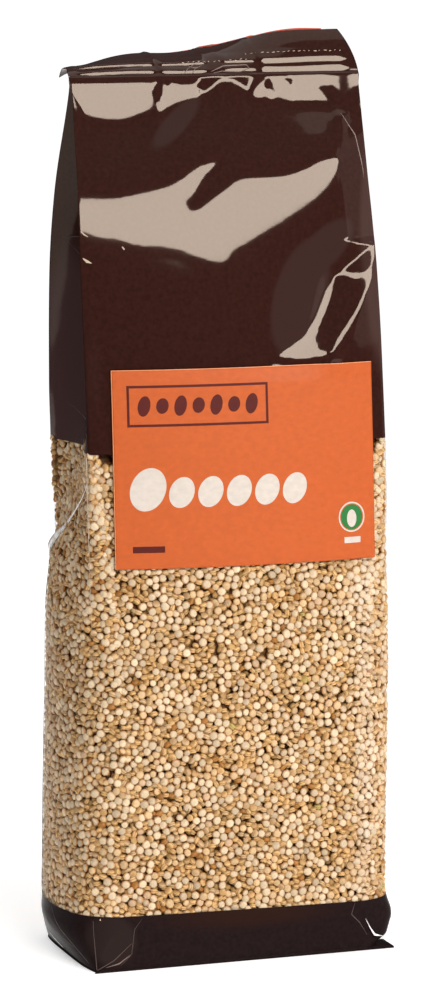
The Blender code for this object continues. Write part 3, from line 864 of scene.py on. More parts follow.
def grain_material(name):
    """Grain skin: the piece's own tints, with fine speckle, half matt."""
    made, nodes, shader = new_material(name)
    tint = nodes.add("VertexColor", {}, layer_name="tint")
    speckle = nodes.noise(scale=2600.0, detail=3.0)
    uneven = nodes.add("MapRange", {"Value": speckle, "To Min": 0.82, "To Max": 1.16}).outputs["Result"]
    shown = nodes.add("VectorMath", {0: tint.outputs["Color"], "Scale": uneven}, operation="SCALE")
    nodes.fill(shader, {
        "Base Color": shown.outputs["Vector"], "Roughness": 0.42, "IOR": 1.33,
        "Normal": nodes.bump(speckle, strength=0.25, distance=0.0001),
    })
    return made


def shaded_core_material(name):
    """Grain further in, seen in the gaps: brown grains painted dark as shade, darkest in the joints."""
    made, nodes, shader = new_material(name)
    inputs = {"Scale": 480.0, "Vector": nodes.place.outputs["Object"]}
    cells = nodes.add("TexVoronoi", inputs).outputs["Distance"]
    nodes.fill(shader, {
        "Base Color": nodes.ramp(cells, (0.25, (0.24, 0.090, 0.016)), (0.7, (0.10, 0.034, 0.005))),
        "Roughness": 0.7,
        "Normal": nodes.bump(cells, strength=0.9, distance=0.0008, invert=True),
    })
    return made


def paper_material(name, colour, roughness=0.5):
    """Printed paper: a faint mottle in the ink and a fine tooth."""
    made, nodes, shader = new_material(name)
    stretch = nodes.add("Mapping", {"Vector": nodes.place.outputs["Object"], "Scale": (0.8, 1.0, 1.15)})
    mottle = nodes.noise(scale=620.0, detail=6.0, vector=stretch.outputs["Vector"])
    nodes.fill(shader, {
        "Base Color": nodes.ramp(mottle, (0.3, scaled(colour, 0.93)), (0.72, scaled(colour, 1.07))),
        "Roughness": roughness, "Specular IOR Level": 0.2,
        "Normal": nodes.bump(nodes.noise(scale=2400.0), strength=0.15, distance=0.00005),
    })
    return made


def glint_material(name):
    """The turned edge of a fold, painted white and bright as a highlight of the light the film mirrors there.
    """
    made, nodes, shader = new_material(name)
    shown = nodes.ramp(nodes.noise(scale=700.0), (0.35, (0.62, 0.57, 0.53)), (0.6, (0.95, 0.93, 0.91)))
    nodes.fill(shader, {"Base Color": shown, "Roughness": 0.25})
    return made


BROWN = (0.0275, 0.0085, 0.0063)
BASE_BROWN = (0.0148, 0.0086, 0.0088)
REFLECTION_TINT = (1.0, 0.84, 0.70)
BASE_REFLECTION_TINT = (1.0, 0.95, 0.95)
# Patches of painted reflection on the printed film: middle and radii in mm, turn in degrees, firm share,
# colour
SHEEN_COLOUR = (0.036, 0.0170, 0.0145)
SHEEN_FADE_END = 1.06
SHEEN_PATCHES = (
    ((20.0, -18.0, 189.0), (8.5, 30.0, 17.5), 20.0, 0.88, SHEEN_COLOUR),
    ((27.5, -16.0, 202.0), (5.5, 30.0, 13.0), 50.0, 0.80, SHEEN_COLOUR),
    ((-12.0, -6.0, 238.5), (3.2, 10.0, 12.5), 48.0, 0.70, SHEEN_COLOUR),
    ((48.0, -8.0, 205.0), (9.0, 40.0, 42.0), 4.0, 0.80, (0.046, 0.0215, 0.0180)),
    ((-40.0, 2.0, 160.0), (9.0, 22.8, 52.0), 0.0, 0.80, (0.052, 0.0275, 0.0265)),
)
# The base film's patches of painted reflection, same columns: a lighter, redder band along its top, lighter
# facets at its left
BASE_SHEEN_PATCHES = (
    ((2.0, -24.0, 13.5), (34.0, 30.0, 5.0), 0.0, 0.2, (0.0240, 0.0105, 0.0080)),
    ((-38.5, -24.0, 8.5), (7.6, 30.0, 7.5), 0.0, 0.75, (0.0235, 0.0150, 0.0138)),
)
printed = film_material("printed_film", BROWN, 0.06, 1.34, 0.5, REFLECTION_TINT, SHEEN_PATCHES)
printed_base = film_material(
    "printed_film_base", BASE_BROWN, 0.18, 1.12, 0.05, BASE_REFLECTION_TINT, BASE_SHEEN_PATCHES
)
clear = clear_material("clear_film")
skin = grain_material("grain_skin")
core_shade = shaded_core_material("grain_core_painted_shade")
orange = paper_material("label_paper", (0.482, 0.092, 0.0175))
strip_orange = paper_material("strip_paper", (0.55, 0.080, 0.040))
paper_edge = paper_material("label_cut_edge", (0.75, 0.30, 0.14))
ink_brown = paper_material("label_ink_brown", (0.080, 0.006, 0.003))
ink_cream = paper_material("label_ink_cream", (0.575, 0.505, 0.445))
ink_green = paper_material("label_ink_green", (0.022, 0.155, 0.036))
# Painted highlights along fold edges, brightest to faintest, standing in for light the film mirrors
painted_glints = {
    "bright": glint_material("film_painted_glint"),
    "pale": paper_material("film_painted_glint_pale", (0.50, 0.40, 0.30), 0.3),
    "dull": paper_material("film_painted_glint_dull", (0.20, 0.140, 0.118), 0.3),
    "faint": paper_material("film_painted_glint_faint", (0.085, 0.055, 0.048), 0.3),
}


# The film

SHARE = column_share()
PRINT_LINE = PRINT_HIGH_Z + PRINT_HIGH_RISE * SHARE * HALF_WIDTH


def rows_between(low, high, count):
    """Heights from low to high, each one number or one for each column."""
    t = np.linspace(0.0, 1.0, count)[:, None]
    return np.broadcast_to(low, COLUMNS) * (1 - t) + np.broadcast_to(high, COLUMNS) * t


def make_printed_top():
    wall = tube(rows_between(PRINT_LINE, SEAL_Z, 190))
    top = wall[-1]
    left, right = top[:, 0].min(), top[:, 0].max()
    new_left = left + FIN_INSET_LEFT * (FIN_LENGTHS / FIN_LENGTH) ** 1.5
    new_right = right - FIN_INSET_RIGHT * (FIN_LENGTHS / FIN_LENGTH) ** 1.5
    across = new_left + (top[:, 0] - left) / (right - left) * (new_right - new_left)
    fin = fin_points(across, FIN_LENGTHS + 0.0 * across, top[:, 1] * FIN_THINNING)
    points = np.concatenate([wall, fin])
    faces = grid_faces(len(points), COLUMNS, True)
    last = (len(points) - 1) * COLUMNS
    front = np.arange(FRONT_COLUMNS - 1)
    behind = FRONT_COLUMNS + 2 * CORNER_COLUMNS + SIDE_COLUMNS
    back = behind + ((FRONT_COLUMNS - 1 - front) * (BACK_COLUMNS - 1) // (FRONT_COLUMNS - 1))
    back_next = behind + ((FRONT_COLUMNS - 2 - front) * (BACK_COLUMNS - 1) // (FRONT_COLUMNS - 1))
    cap = np.stack([last + front, last + front + 1, last + back_next, last + back], axis=-1)
    cap = cap[back != back_next]
    piece("bag_printed_top", points, np.concatenate([faces, cap]), printed, "printed_film", ("bag",))


def make_window():
    points = tube(rows_between(PRINT_LOW_Z, PRINT_LINE, 100))
    piece("bag_window", points, grid_faces(100, COLUMNS, True), clear)


def make_base():
    points = tube(rows_between(0.35 * MM, PRINT_LOW_Z, 30))
    faces = grid_faces(30, COLUMNS, True)
    piece("bag_printed_base", points, faces, printed_base, "printed_film")


def make_floor_flap():
    """The flat folded bottom: its seal lies under the front and sticks out at the right."""
    outline = tube(rows_between(FLAP_THICK, FLAP_THICK, 2))[0][:, :2].copy()
    outline[:FRONT_COLUMNS] = np.linspace(FLAP_LEFT, FLAP_RIGHT, FRONT_COLUMNS)
    end = FRONT_COLUMNS + np.arange(CORNER_COLUMNS + 1)
    outline[end, 0] = FLAP_RIGHT[0]
    outline[end, 1] = FLAP_RIGHT[1] + FLAP_WIDTH * np.linspace(0.0, 1.0, len(end) + 1)[1:]
    centre = outline.mean(axis=0)
    rings = []
    for grown, height in ((0.0, 0.0), (0.998, 0.0), (1.0, 0.2 * MM), (0.997, 0.6 * MM), (0.0, 0.6 * MM)):
        ring = centre + (outline - centre) * max(grown, 0.001)
        rings.append(np.column_stack([ring, np.full(len(ring), height)]))
    points = np.array(rings)
    piece("bag_base_fold", points, grid_faces(len(rings), COLUMNS, True), printed_base, "printed_film")


# Grain

# The rim tint is darker: part the grain's own ring, part painted shade where grains touch
# Each kind's outline from one pole to the other: radius, height, and share of the rim's tint
FACE_PROFILE = ((0.0, 0.5, 0.12), (0.64, 0.46, 0.0), (0.92, 0.25, 0.62), (1.0, 0.0, 1.0), (0.0, -0.48, 1.0))
EDGE_PROFILE = (
    (0.0, 0.48, 0.6), (0.72, 0.42, 0.32), (0.97, 0.17, 0.0), (0.91, 0.0, 0.75), (0.97, -0.17, 0.0),
    (0.72, -0.42, 0.32), (0.0, -0.48, 0.6),
)
INNER_PROFILE = ((0.0, 0.5, 0.0), (0.70, 0.42, 0.1), (1.0, 0.0, 1.0), (0.7, -0.3, 1.0), (0.0, -0.48, 1.0))


def grain_template(profile, segments):
    """A grain of unit radius and thickness: its points, triangles and rim shares."""
    points, rim = [(0.0, 0.0, profile[0][1])], [profile[0][2]]
    for radius, height, share in profile[1:-1]:
        for i in range(segments):
            angle = 2.0 * math.pi * i / segments
            points.append((radius * math.cos(angle), radius * math.sin(angle), height))
            rim.append(share)
    points.append((0.0, 0.0, profile[-1][1]))
    rim.append(profile[-1][2])
    faces = [(0, 1 + i, 1 + (i + 1) % segments) for i in range(segments)]
    rings = len(profile) - 2
    for ring in range(rings - 1):
        for i in range(segments):
            a, b = 1 + ring * segments + i, 1 + ring * segments + (i + 1) % segments
            faces += [(a, a + segments, b + segments), (a, b + segments, b)]
    last = len(points) - 1
    start = 1 + (rings - 1) * segments
    faces += [(last, start + (i + 1) % segments, start + i) for i in range(segments)]
    return np.array(points), np.array(faces), np.array(rim)


def surface_samples():
    """The film's surface over the grain as a grid, with its length round the bag at each height."""
    rows = 70
    z = rows_between(GRAIN_LOW_Z, GRAIN_TOP, rows)
    points = tube(z)
    joined = np.concatenate([points, points[:, :1]], axis=1)
    steps = np.linalg.norm(np.diff(joined, axis=1), axis=2)
    run = np.concatenate([np.zeros((rows, 1)), np.cumsum(steps, axis=1)], axis=1)
    return np.linspace(GRAIN_LOW_Z, GRAIN_HIGH_Z, rows), joined, run


def relax(spots, reach, around, rounds):
    """Pushes grains apart until each pair is about its two reaches apart. The first axis wraps."""
    size = 2.0 * reach.max()
    for _ in range(rounds):
        near = np.concatenate([spots, spots + (around, 0.0), spots - (around, 0.0)])
        keep = (near[:, 0] > -2 * size) & (near[:, 0] < around + 2 * size)
        owners = np.tile(np.arange(len(spots)), 3)[keep]
        near = near[keep]
        cell = np.floor(near / size).astype(int)
        key = cell[:, 0] * 100000 + cell[:, 1]
        order = np.argsort(key, kind="stable")
        sorted_key = key[order]
        push = np.zeros_like(spots)
        own = np.floor(spots / size).astype(int)
        for dx, dy in itertools.product((-1, 0, 1), (-1, 0, 1)):
            wanted = (own[:, 0] + dx) * 100000 + own[:, 1] + dy
            first = np.searchsorted(sorted_key, wanted, "left")
            last = np.searchsorted(sorted_key, wanted, "right")
            for k in range(int((last - first).max())):
                other = order[np.minimum(first + k, len(order) - 1)]
                gap = spots - near[other]
                away = np.linalg.norm(gap, axis=1)
                room = reach + reach[owners[other]]
                here = (first + k < last) & (owners[other] != np.arange(len(spots)))
                here = here & (away < room) & (away > 1e-9)
                shift = gap / np.maximum(away, 1e-9)[:, None] * (room - away)[:, None]
                push += np.where(here[:, None], shift, 0.0)
        spots = spots + PUSH_SHARE * push
        spots[:, 0] %= around
        spots[:, 1] = np.clip(spots[:, 1], GRAIN_LOW_Z, GRAIN_HIGH_Z)
    return spots


def turned(axis, spin):
    """Rotation matrices that take Z to axis, turned by spin about it."""
    helper = np.where(np.abs(axis[:, 2:]) < 0.9, (0.0, 0.0, 1.0), (1.0, 0.0, 0.0))
    u = np.cross(helper, axis)
    u /= np.linalg.norm(u, axis=1, keepdims=True)
    v = np.cross(axis, u)
    c, s = np.cos(spin)[:, None], np.sin(spin)[:, None]
    return np.stack([u * c + v * s, v * c - u * s, axis], axis=-1)


def film_places(spots, around, heights, points, run):
    """The film's point and outward direction at each spot, given as length round the bag and height."""
    row = np.clip((spots[:, 1] - heights[0]) / (heights[1] - heights[0]), 0, len(heights) - 1.001)
    j = row.astype(int)
    v = (row - j)[:, None]
    share = spots[:, 0] / around

    def at(level):
        length = run[level, -1] * share
        column = np.array([np.searchsorted(run[r], s, "right") - 1 for r, s in zip(level, length)])
        column = np.clip(column, 0, COLUMNS - 1)
        u = (length - run[level, column]) / np.maximum(run[level, column + 1] - run[level, column], 1e-9)
        a, b = points[level, column], points[level, column + 1]
        return a + (b - a) * u[:, None], b - a

    low, along = at(j)
    high, _ = at(j + 1)
    normal = np.cross(along, high - low)
    normal /= np.linalg.norm(normal, axis=1, keepdims=True)
    return low + (high - low) * v, normal


def scattered(rng, pitch, around):
    """Spots on a six-sided grid of this pitch, well shaken."""
    columns = int(around / pitch)
    rows = int((GRAIN_HIGH_Z - GRAIN_LOW_Z) / (pitch * 0.866))
    i, j = np.meshgrid(np.arange(columns), np.arange(rows))
    spots = np.column_stack([
        ((i + 0.5 * (j % 2)) * around / columns).ravel(),
        (GRAIN_LOW_Z + j * (GRAIN_HIGH_Z - GRAIN_LOW_Z) / (rows - 1)).ravel(),
    ])
    spots = spots + rng.normal(0.0, 0.62 * pitch, spots.shape)
    spots[:, 0] %= around
    spots[:, 1] = np.clip(spots[:, 1], GRAIN_LOW_Z, GRAIN_HIGH_Z)
    return spots


def grain_pieces(name, rng, profile, segments, shown, **grains):
    """Two joined meshes of the shown grains, each grain turned, a little uneven and tinted in its own way."""
    template, faces, rim = grain_template(profile, segments)
    for part in range(2):
        mine = shown[part::2]
        centre, axis, size, body, rim_ring_and_shade = (
            grains[kind][mine] for kind in ("centre", "axis", "size", "body", "rim_ring_and_shade")
        )
        count = len(mine)
        turn = turned(axis, rng.uniform(0.0, 2.0 * math.pi, count))
        scale = np.column_stack([
            GRAIN_RADIUS * size, GRAIN_RADIUS * size * rng.uniform(0.9, 1.0, count), GRAIN_THICK * size
        ])
        uneven = template[None] * (1.0 + GRAIN_UNEVEN * rng.normal(0.0, 1.0, (count, len(template), 1)))
        world = np.einsum("nij,npj->npi", turn, uneven * scale[:, None, :]) + centre[:, None, :]
        tint = body[:, None, :] * (1 - rim[None, :, None]) + rim_ring_and_shade[:, None, :] * rim[None, :, None]
        shifts = np.arange(count)[:, None, None] * len(template)
        piece(
            "quinoa_%s_%d" % (name, part + 1), world.reshape(-1, 3), (faces[None] + shifts).reshape(-1, 3),
            skin, colours=np.clip(tint.reshape(-1, 3), 0.0, 1.0),
        )


def behind_label(place, normal, low_z, half_width):
    """True where the label hides the grain, so that none is made there."""
    aside = np.abs(place[:, 0] - LABEL_CENTRE[0])
    return (normal[:, 1] < -0.8) & (place[:, 2] > low_z) & (aside < half_width)


def drawn(rng, count, mean, deviation, least, most):
    """Numbers round a mean, kept between two limits, in a column."""
    return rng.normal(mean, deviation, (count, 1)).clip(least, most)


def chosen(kind, tints):
    """Each grain's tint: the first whose share its number is under."""
    found = tints[-1][1]
    for share, tint in reversed(tints[:-1]):
        found = np.where(kind < share, tint, found)
    return found


def unit(vectors):
    return vectors / np.linalg.norm(vectors, axis=1, keepdims=True)


def make_outer_grains(rng, heights, points, run):
    """Grains lying against the film: pale ones that show a face, and honey ones on edge."""
    around = float(run[len(run) // 2, -1])
    spots = scattered(rng, GRAIN_PITCH, around)
    count = len(spots)
    size = drawn(rng, count, *OUTER_SIZE)[:, 0]
    face_on = rng.random(count) < FACE_ON_SHARE
    size = size * np.where(face_on, 1.0, EDGE_SIZE)
    reach = FLAT_REACH * GRAIN_RADIUS * size * np.where(face_on, 1.0, EDGE_REACH)
    spots = relax(spots, reach, around, OUTER_ROUNDS)
    place, normal = film_places(spots, around, heights, points, run)

    wobble = rng.normal(0.0, 1.0, (count, 3))
    upright = np.column_stack([np.zeros((count, 2)), np.ones(count)])
    on_edge = upright + EDGE_WOBBLE * wobble + EDGE_OUTWARD * normal
    axis = unit(np.where(face_on[:, None], normal + FLAT_WOBBLE * wobble, on_edge))
    flip = np.sign((axis * normal).sum(axis=1))
    axis = axis * np.where(flip == 0, 1.0, flip)[:, None]
    facing = (axis * normal).sum(axis=1)
    half_wide, half_thick = GRAIN_RADIUS * size, GRAIN_THICK / 2 * size
    support = np.sqrt(half_wide**2 * (1 - facing**2) + half_thick**2 * facing**2)
    sunk = rng.random(count) ** 2 * np.where(face_on, *SUNK) * MM
    centre = place - normal * (support + GRAIN_CLEARANCE + sunk)[:, None]

    kind = rng.random(count)[:, None]
    body = np.where(face_on[:, None], chosen(kind, FLAT_TINTS), chosen(kind, EDGE_TINTS))
    body = body * drawn(rng, count, *OUTER_SHADE)
    # The darker rim is part the grain's own ring and part painted shade where grains touch
    rim_ring_and_shade = np.where(face_on[:, None], RUSSET, RUSSET * EDGE_RIM) * drawn(rng, count, *RIM_SHADE)

    # Painted reflection: grains near the right edge of the window are tinted paler
    painted_sheen = SHEEN_VEIL_SHARE * np.exp(-((place[:, :1] - SHEEN_VEIL_X) / SHEEN_VEIL_REACH) ** 2) * (normal[:, 1:2] < -0.3)
    body = body + painted_sheen * (SHEEN_VEIL_TINT - body)
    rim_ring_and_shade = rim_ring_and_shade + painted_sheen * (SHEEN_VEIL_TINT - rim_ring_and_shade)
    bare = ~behind_label(place, normal, *OUTER_HIDDEN)
    grains = {"centre": centre, "axis": axis, "size": size, "body": body, "rim_ring_and_shade": rim_ring_and_shade}
    grain_pieces("pale", rng, FACE_PROFILE, 8, np.flatnonzero(face_on & bare), **grains)
    grain_pieces("edge", rng, EDGE_PROFILE, 8, np.flatnonzero(~face_on & bare), **grains)


def make_inner_grains(rng, heights, points, run):
    """The layer of grains behind the outer one, painted darker to stand in for the shade there."""
    around = float(run[len(run) // 2, -1])
    spots = scattered(rng, INNER_PITCH, around)
    count = len(spots)
    size = drawn(rng, count, *INNER_SIZE)[:, 0]
    spots = relax(spots, INNER_REACH * GRAIN_RADIUS * size, around, INNER_ROUNDS)
    place, normal = film_places(spots, around, heights, points, run)
    axis = unit(normal + INNER_WOBBLE * rng.normal(0.0, 1.0, (count, 3)))
    centre = place - normal * (INNER_DEPTH + rng.uniform(0.0, INNER_JITTER, count))[:, None]
    body = HONEY * INNER_PAINTED_SHADE * drawn(rng, count, *INNER_SHADE)
    bare = ~behind_label(place, normal, *INNER_HIDDEN)
    grains = {"centre": centre, "axis": axis, "size": size, "body": body, "rim_ring_and_shade": body * INNER_RIM}
    grain_pieces("behind", rng, INNER_PROFILE, 6, np.flatnonzero(bare), **grains)


GRAIN_FRONT = 1.0 - smooth(np.abs(SHARE), 0.93, 1.0)
GRAIN_TOP = GRAIN_SIDE_HIGH_Z + (GRAIN_HIGH_Z - GRAIN_SIDE_HIGH_Z) * GRAIN_FRONT


def make_core():
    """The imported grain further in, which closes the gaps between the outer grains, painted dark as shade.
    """
    z = rows_between(12.0 * MM, GRAIN_TOP + 1.6 * MM, 60)
    points = tube(z)
    along = np.roll(points, -1, axis=1) - np.roll(points, 1, axis=1)
    rise = np.gradient(points, axis=0)
    normal = np.cross(along, rise)
    normal /= np.linalg.norm(normal, axis=2, keepdims=True)
    points = points - normal * CORE_DEPTH
    crown = points[-1].copy()
    centre = crown.mean(axis=0) + (0.0, 0.0, 1.0 * MM)
    cap = [centre + (crown - centre) * share for share in (0.8, 0.5, 0.2, 0.001)]
    foot = points[0].copy()
    low = foot.mean(axis=0)
    closed = [low + (foot - low) * share for share in (0.001, 0.5)]
    points = np.concatenate([closed, points, cap])
    piece("quinoa_core", points, grid_faces(len(points), COLUMNS, True), core_shade)


# Label

def label_point(u, v, lift):
    turn_x, turn_z = math.cos(LABEL_TILT), math.sin(LABEL_TILT)
    x = LABEL_CENTRE[0] + u * turn_x - v * turn_z
    z = LABEL_CENTRE[1] + u * turn_z + v * turn_x
    return np.stack([x, front_y(x, z) - LABEL_GAP - lift, z], axis=-1)


def closed_sheet(outer, inner):
    """Points and faces of a thin sheet between two grids of equally many points."""
    rows, columns = outer.shape[:2]
    front = grid_faces(rows, columns, False)
    back = front[:, ::-1] + rows * columns
    rim = [(0, i) for i in range(columns)] + [(j, columns - 1) for j in range(1, rows)]
    rim += [(rows - 1, i) for i in range(columns - 2, -1, -1)] + [(j, 0) for j in range(rows - 2, 0, -1)]
    index = np.array([j * columns + i for j, i in rim])
    after = np.roll(index, -1)
    edge = np.stack([index, index + rows * columns, after + rows * columns, after], axis=-1)
    return np.concatenate([outer.reshape(-1, 3), inner.reshape(-1, 3)]), np.concatenate([front, back, edge])


def make_label():
    columns, rows = 120, 90
    u = np.linspace(-LABEL_WIDTH / 2, LABEL_WIDTH / 2, columns)
    v = np.linspace(-LABEL_HEIGHT / 2, LABEL_HEIGHT / 2, rows)
    uu, vv = np.meshgrid(u, v)
    sheet = closed_sheet(label_point(uu, vv, LABEL_THICK), label_point(uu, vv, 0.0))
    piece("front_label_paper", *sheet, orange, "label_paper", ("front_label",))


BAR_STEP = 1.5


class Print:
    """Flat shapes of one ink, laid on the label. Places are from the label's middle, in mm."""

    def __init__(self):
        self.points, self.faces, self.count = [], [], 0

    def grid(self, u, v):
        """Adds a grid of points, rows by columns."""
        self.points.append(label_point(u * MM, v * MM, LABEL_THICK + INK_LIFT).reshape(-1, 3))
        self.faces.append(grid_faces(*u.shape, False) + self.count)
        self.count += u.size

    def bar(self, u0, u1, v0, v1):
        columns, rows = (max(int(length / BAR_STEP) + 2, 2) for length in (u1 - u0, v1 - v0))
        self.grid(*np.meshgrid(np.linspace(u0, u1, columns), np.linspace(v0, v1, rows)))

    def oval(self, u, v, half_wide, half_high, turn=0.0, hollow=0.0):
        """A turned oval, or a band of one from hollow times its size outwards."""
        angle = np.radians(np.linspace(0.0, 360.0, 41))
        size = np.linspace(max(hollow, 0.001), 1.0, 5)[:, None]
        a, b = half_wide * size * np.cos(angle), half_high * size * np.sin(angle)
        c, d = math.cos(math.radians(turn)), math.sin(math.radians(turn))
        self.grid(u + a * c - b * d, v + a * d + b * c)

    def made(self, name, ink, higher=0.0):
        points = np.concatenate(self.points) - (0.0, higher, 0.0)
        piece(name, points, np.concatenate(self.faces), ink, "label_paper")


# The print, in mm from the label's middle
FRAME_LEFT, FRAME_RIGHT, FRAME_LOW, FRAME_HIGH = -34.4, 6.2, 12.0, 23.6
FRAME_LINE = 0.7
DOT_COUNT, DOT_U, DOT_PITCH, DOT_V, DOT_WIDE = 7, -29.6, 5.15, 17.8, 1.75
DOT_HIGH = (2.9, 2.2)
OVAL_COUNT, OVAL_U, OVAL_PITCH = 6, -29.0, 8.3
FIRST_OVAL = (0.0, -5.6, 4.9, 6.3)
OTHER_OVAL = (1.2, -6.6, 3.5, 4.5)
SHORT_BAR = (-33.6, -24.6, -23.4, -21.6)
MARK = (31.2, -15.9)
MARK_BAR = (28.8, 33.9, -23.3, -21.6)
CUT_SIDE, CUT_TOP = 0.16, 0.18


def make_label_print():
    """A thin frame with a row of dots, a row of large ovals, a short bar, and a round mark with a bar."""
    brown, cream, green, leaf, edge = (Print() for _ in range(5))
    left, right, low, high, line = FRAME_LEFT, FRAME_RIGHT, FRAME_LOW, FRAME_HIGH, FRAME_LINE
    brown.bar(left, right, high - line, high)
    brown.bar(left, right, low, low + line)
    brown.bar(left, left + line, low + line, high - line)
    brown.bar(right - line, right, low + line, high - line)
    for number in range(DOT_COUNT):
        brown.oval(DOT_U + DOT_PITCH * number, DOT_V, DOT_WIDE, DOT_HIGH[number % 2], -12.0)
    for number in range(OVAL_COUNT):
        shift, v, wide, tall = OTHER_OVAL if number else FIRST_OVAL
        cream.oval(OVAL_U + OVAL_PITCH * number + shift, v, wide, tall, -24.0)
    brown.bar(*SHORT_BAR)
    green.oval(*MARK, 3.4, 3.6)
    cream.oval(*MARK, 4.1, 4.3, hollow=0.90)
    cream.bar(*MARK_BAR)
    leaf.oval(MARK[0], MARK[1] - 0.4, 1.5, 2.5)
    half_u, half_v = LABEL_WIDTH / MM / 2, LABEL_HEIGHT / MM / 2
    edge.bar(-half_u, half_u, half_v - CUT_TOP, half_v)
    edge.bar(-half_u, -half_u + CUT_SIDE, -half_v, half_v - CUT_TOP)
    leaf.made("label_print_leaf", ink_cream, INK_LIFT)
    brown.made("label_print_brown", ink_brown)
    cream.made("label_print_cream", ink_cream)
    green.made("label_print_green", ink_green)
    edge.made("label_cut_edge", paper_edge)


# Painted highlights along fold edges

def ribbon(line, across, wide, outward):
    """Points and faces of a thin closed ribbon just over a line on the film."""
    across = across * (wide / 2 / np.linalg.norm(across, axis=1))[:, None]
    line = line + GLINT_LIFT * outward
    raised = line + GLINT_THICK * outward
    rings = np.stack([line - across, raised - 0.5 * across, raised + 0.5 * across, line + across], axis=1)
    faces = grid_faces(len(line), 4, True)
    count = 4 * len(line)
    ends = np.array([(3, 2, 1, 0), (count - 4, count - 3, count - 2, count - 1)])
    return rings.reshape(-1, 3), np.concatenate([faces, ends])


def evenly(points, widths, spacing):
    """Evenly spaced places along a line of points in mm, and the width at each, in metres."""
    points, widths = np.array(points, float), np.array(widths, float)
    run = np.concatenate([[0.0], np.cumsum(np.linalg.norm(np.diff(points, axis=0), axis=1))])
    t = np.linspace(0.0, run[-1], max(int(run[-1] / spacing), 5))
    return (np.interp(t, run, values) * MM for values in (points[:, 0], points[:, 1], widths))


def front_glint(points, widths):
    """A painted highlight along a fold edge on the front, along (x, z) points."""
    x, z, wide = evenly(points, widths, 0.5)
    line = np.stack([x, front_y(x, z), z], axis=-1)
    across = np.stack([-np.gradient(z), 0.0 * x, np.gradient(x)], axis=-1)
    return ribbon(line, across, wide, np.array((0.0, -1.0, 0.0)))


def side_glint(heights, backs, widths):
    """A painted highlight on a left side fold edge, at these heights in mm and shares of the way to the back.
    """
    t = np.linspace(0.0, 1.0, 60)
    given = [np.interp(t, np.linspace(0.0, 1.0, len(values)), values) for values in (heights, backs, widths)]
    z, place, wide = given[0] * MM, given[1] * (SIDE_COLUMNS - 1), given[2] * MM
    first = COLUMNS - CORNER_COLUMNS - SIDE_COLUMNS
    wall = tube(np.broadcast_to(z[:, None], (len(z), COLUMNS)))[:, first:first + SIDE_COLUMNS][:, ::-1]
    i = np.minimum(place.astype(int), SIDE_COLUMNS - 2)
    rows = np.arange(len(z))
    line = wall[rows, i] + (wall[rows, i + 1] - wall[rows, i]) * (place - i)[:, None]
    outward = np.array((-1.0, 0.0, 0.0))
    return ribbon(line, np.cross(np.gradient(line, axis=0), outward), wide, outward)


def fin_glint(points, widths):
    """A painted highlight along a fold edge on the fin's front, along (x, length from the seal) points."""
    x, s, wide = evenly(points, widths, 0.4)
    depth = front_y(x, SEAL_Z) * FIN_THINNING
    fin = fin_points(x, FIN_LENGTHS + 0.0 * x, depth - GLINT_LIFT)
    columns = np.arange(len(x))
    row = np.clip(s / FIN_LENGTH * FIN_ROWS - 1.0, 0.0, FIN_ROWS - 1.001)
    i = row.astype(int)
    rise = fin[i + 1, columns] - fin[i, columns]
    line = fin[i, columns] + rise * (row - i)[:, None]
    outward = np.array((0.0, -math.cos(FIN_FACING), math.sin(FIN_FACING)))
    return ribbon(line, np.cross(outward, np.gradient(line, axis=0)), wide, outward)


def seal_painted_glints(rng):
    """A broken bright line of short painted highlights along the fin, standing in for light off small knocks.
    """
    made = []
    for start, stop, height in GLINT_DASHES:
        for x in np.arange(start, stop, GLINT_DASH_PITCH):
            length = rng.uniform(0.25, 1.0) * 0.6 * GLINT_DASH_PITCH
            low, high = (height + rng.normal(0.0, 0.12 * MM, 2)) / MM
            made.append(fin_glint(((x / MM, low), ((x + length) / MM, high)), rng.uniform(0.12, 0.32, 2)))
    return made


def make_painted_glints():
    """One piece of painted highlight ribbons for each kind of fold edge."""
    for kind, made_of in painted_glints.items():
        parts = [front_glint(*given) for given in FRONT_GLINT_LINES[kind]]
        parts += [side_glint(*given) for given in SIDE_GLINT_LINES.get(kind, ())]
        if kind == "pale":
            parts += seal_painted_glints(np.random.default_rng(SEED + 1))
        if kind == "dull":
            parts += [fin_glint(*given) for given in FIN_GLINT_LINES]
        points, faces = zip(*parts)
        shifts = np.cumsum([0] + [len(each) for each in points[:-1]])
        faces = np.concatenate([each + shift for each, shift in zip(faces, shifts)])
        piece("film_painted_glints_" + kind, np.concatenate(points), faces, made_of)


def make_strip():
    """The orange strip behind the fin, whose upper edge stands a little above it."""
    columns, rows = 90, 24
    x = np.linspace(STRIP_LEFT_X, STRIP_RIGHT_X, columns)
    lowest = STRIP_LOW / FIN_LENGTH * 0.86
    chosen = np.linspace(lowest * (FIN_ROWS - 1), FIN_ROWS - 1, rows).astype(int)
    rise = np.linspace(0.0, 1.0, 4)[1:, None] * np.interp(x / MM, *STRIP_SHOWN_AT) * MM
    sides = []
    for offset in (STRIP_OFFSET + STRIP_THICK, STRIP_OFFSET):
        fin = fin_points(x, FIN_LENGTHS + 0.0 * x, offset)[chosen]
        above = fin[-1:] + rise[:, :, None] * np.array((0.0, 0.0, 1.0))
        sides.append(np.concatenate([fin, above]))
    piece("closure_strip_paper", *closed_sheet(*sides), strip_orange, "strip_paper", ("closure_strip",))


# Camera, light and floor

WHITE = (1.0, 1.0, 1.0)
KEY_COLOUR = (1.0, 0.985, 0.96)
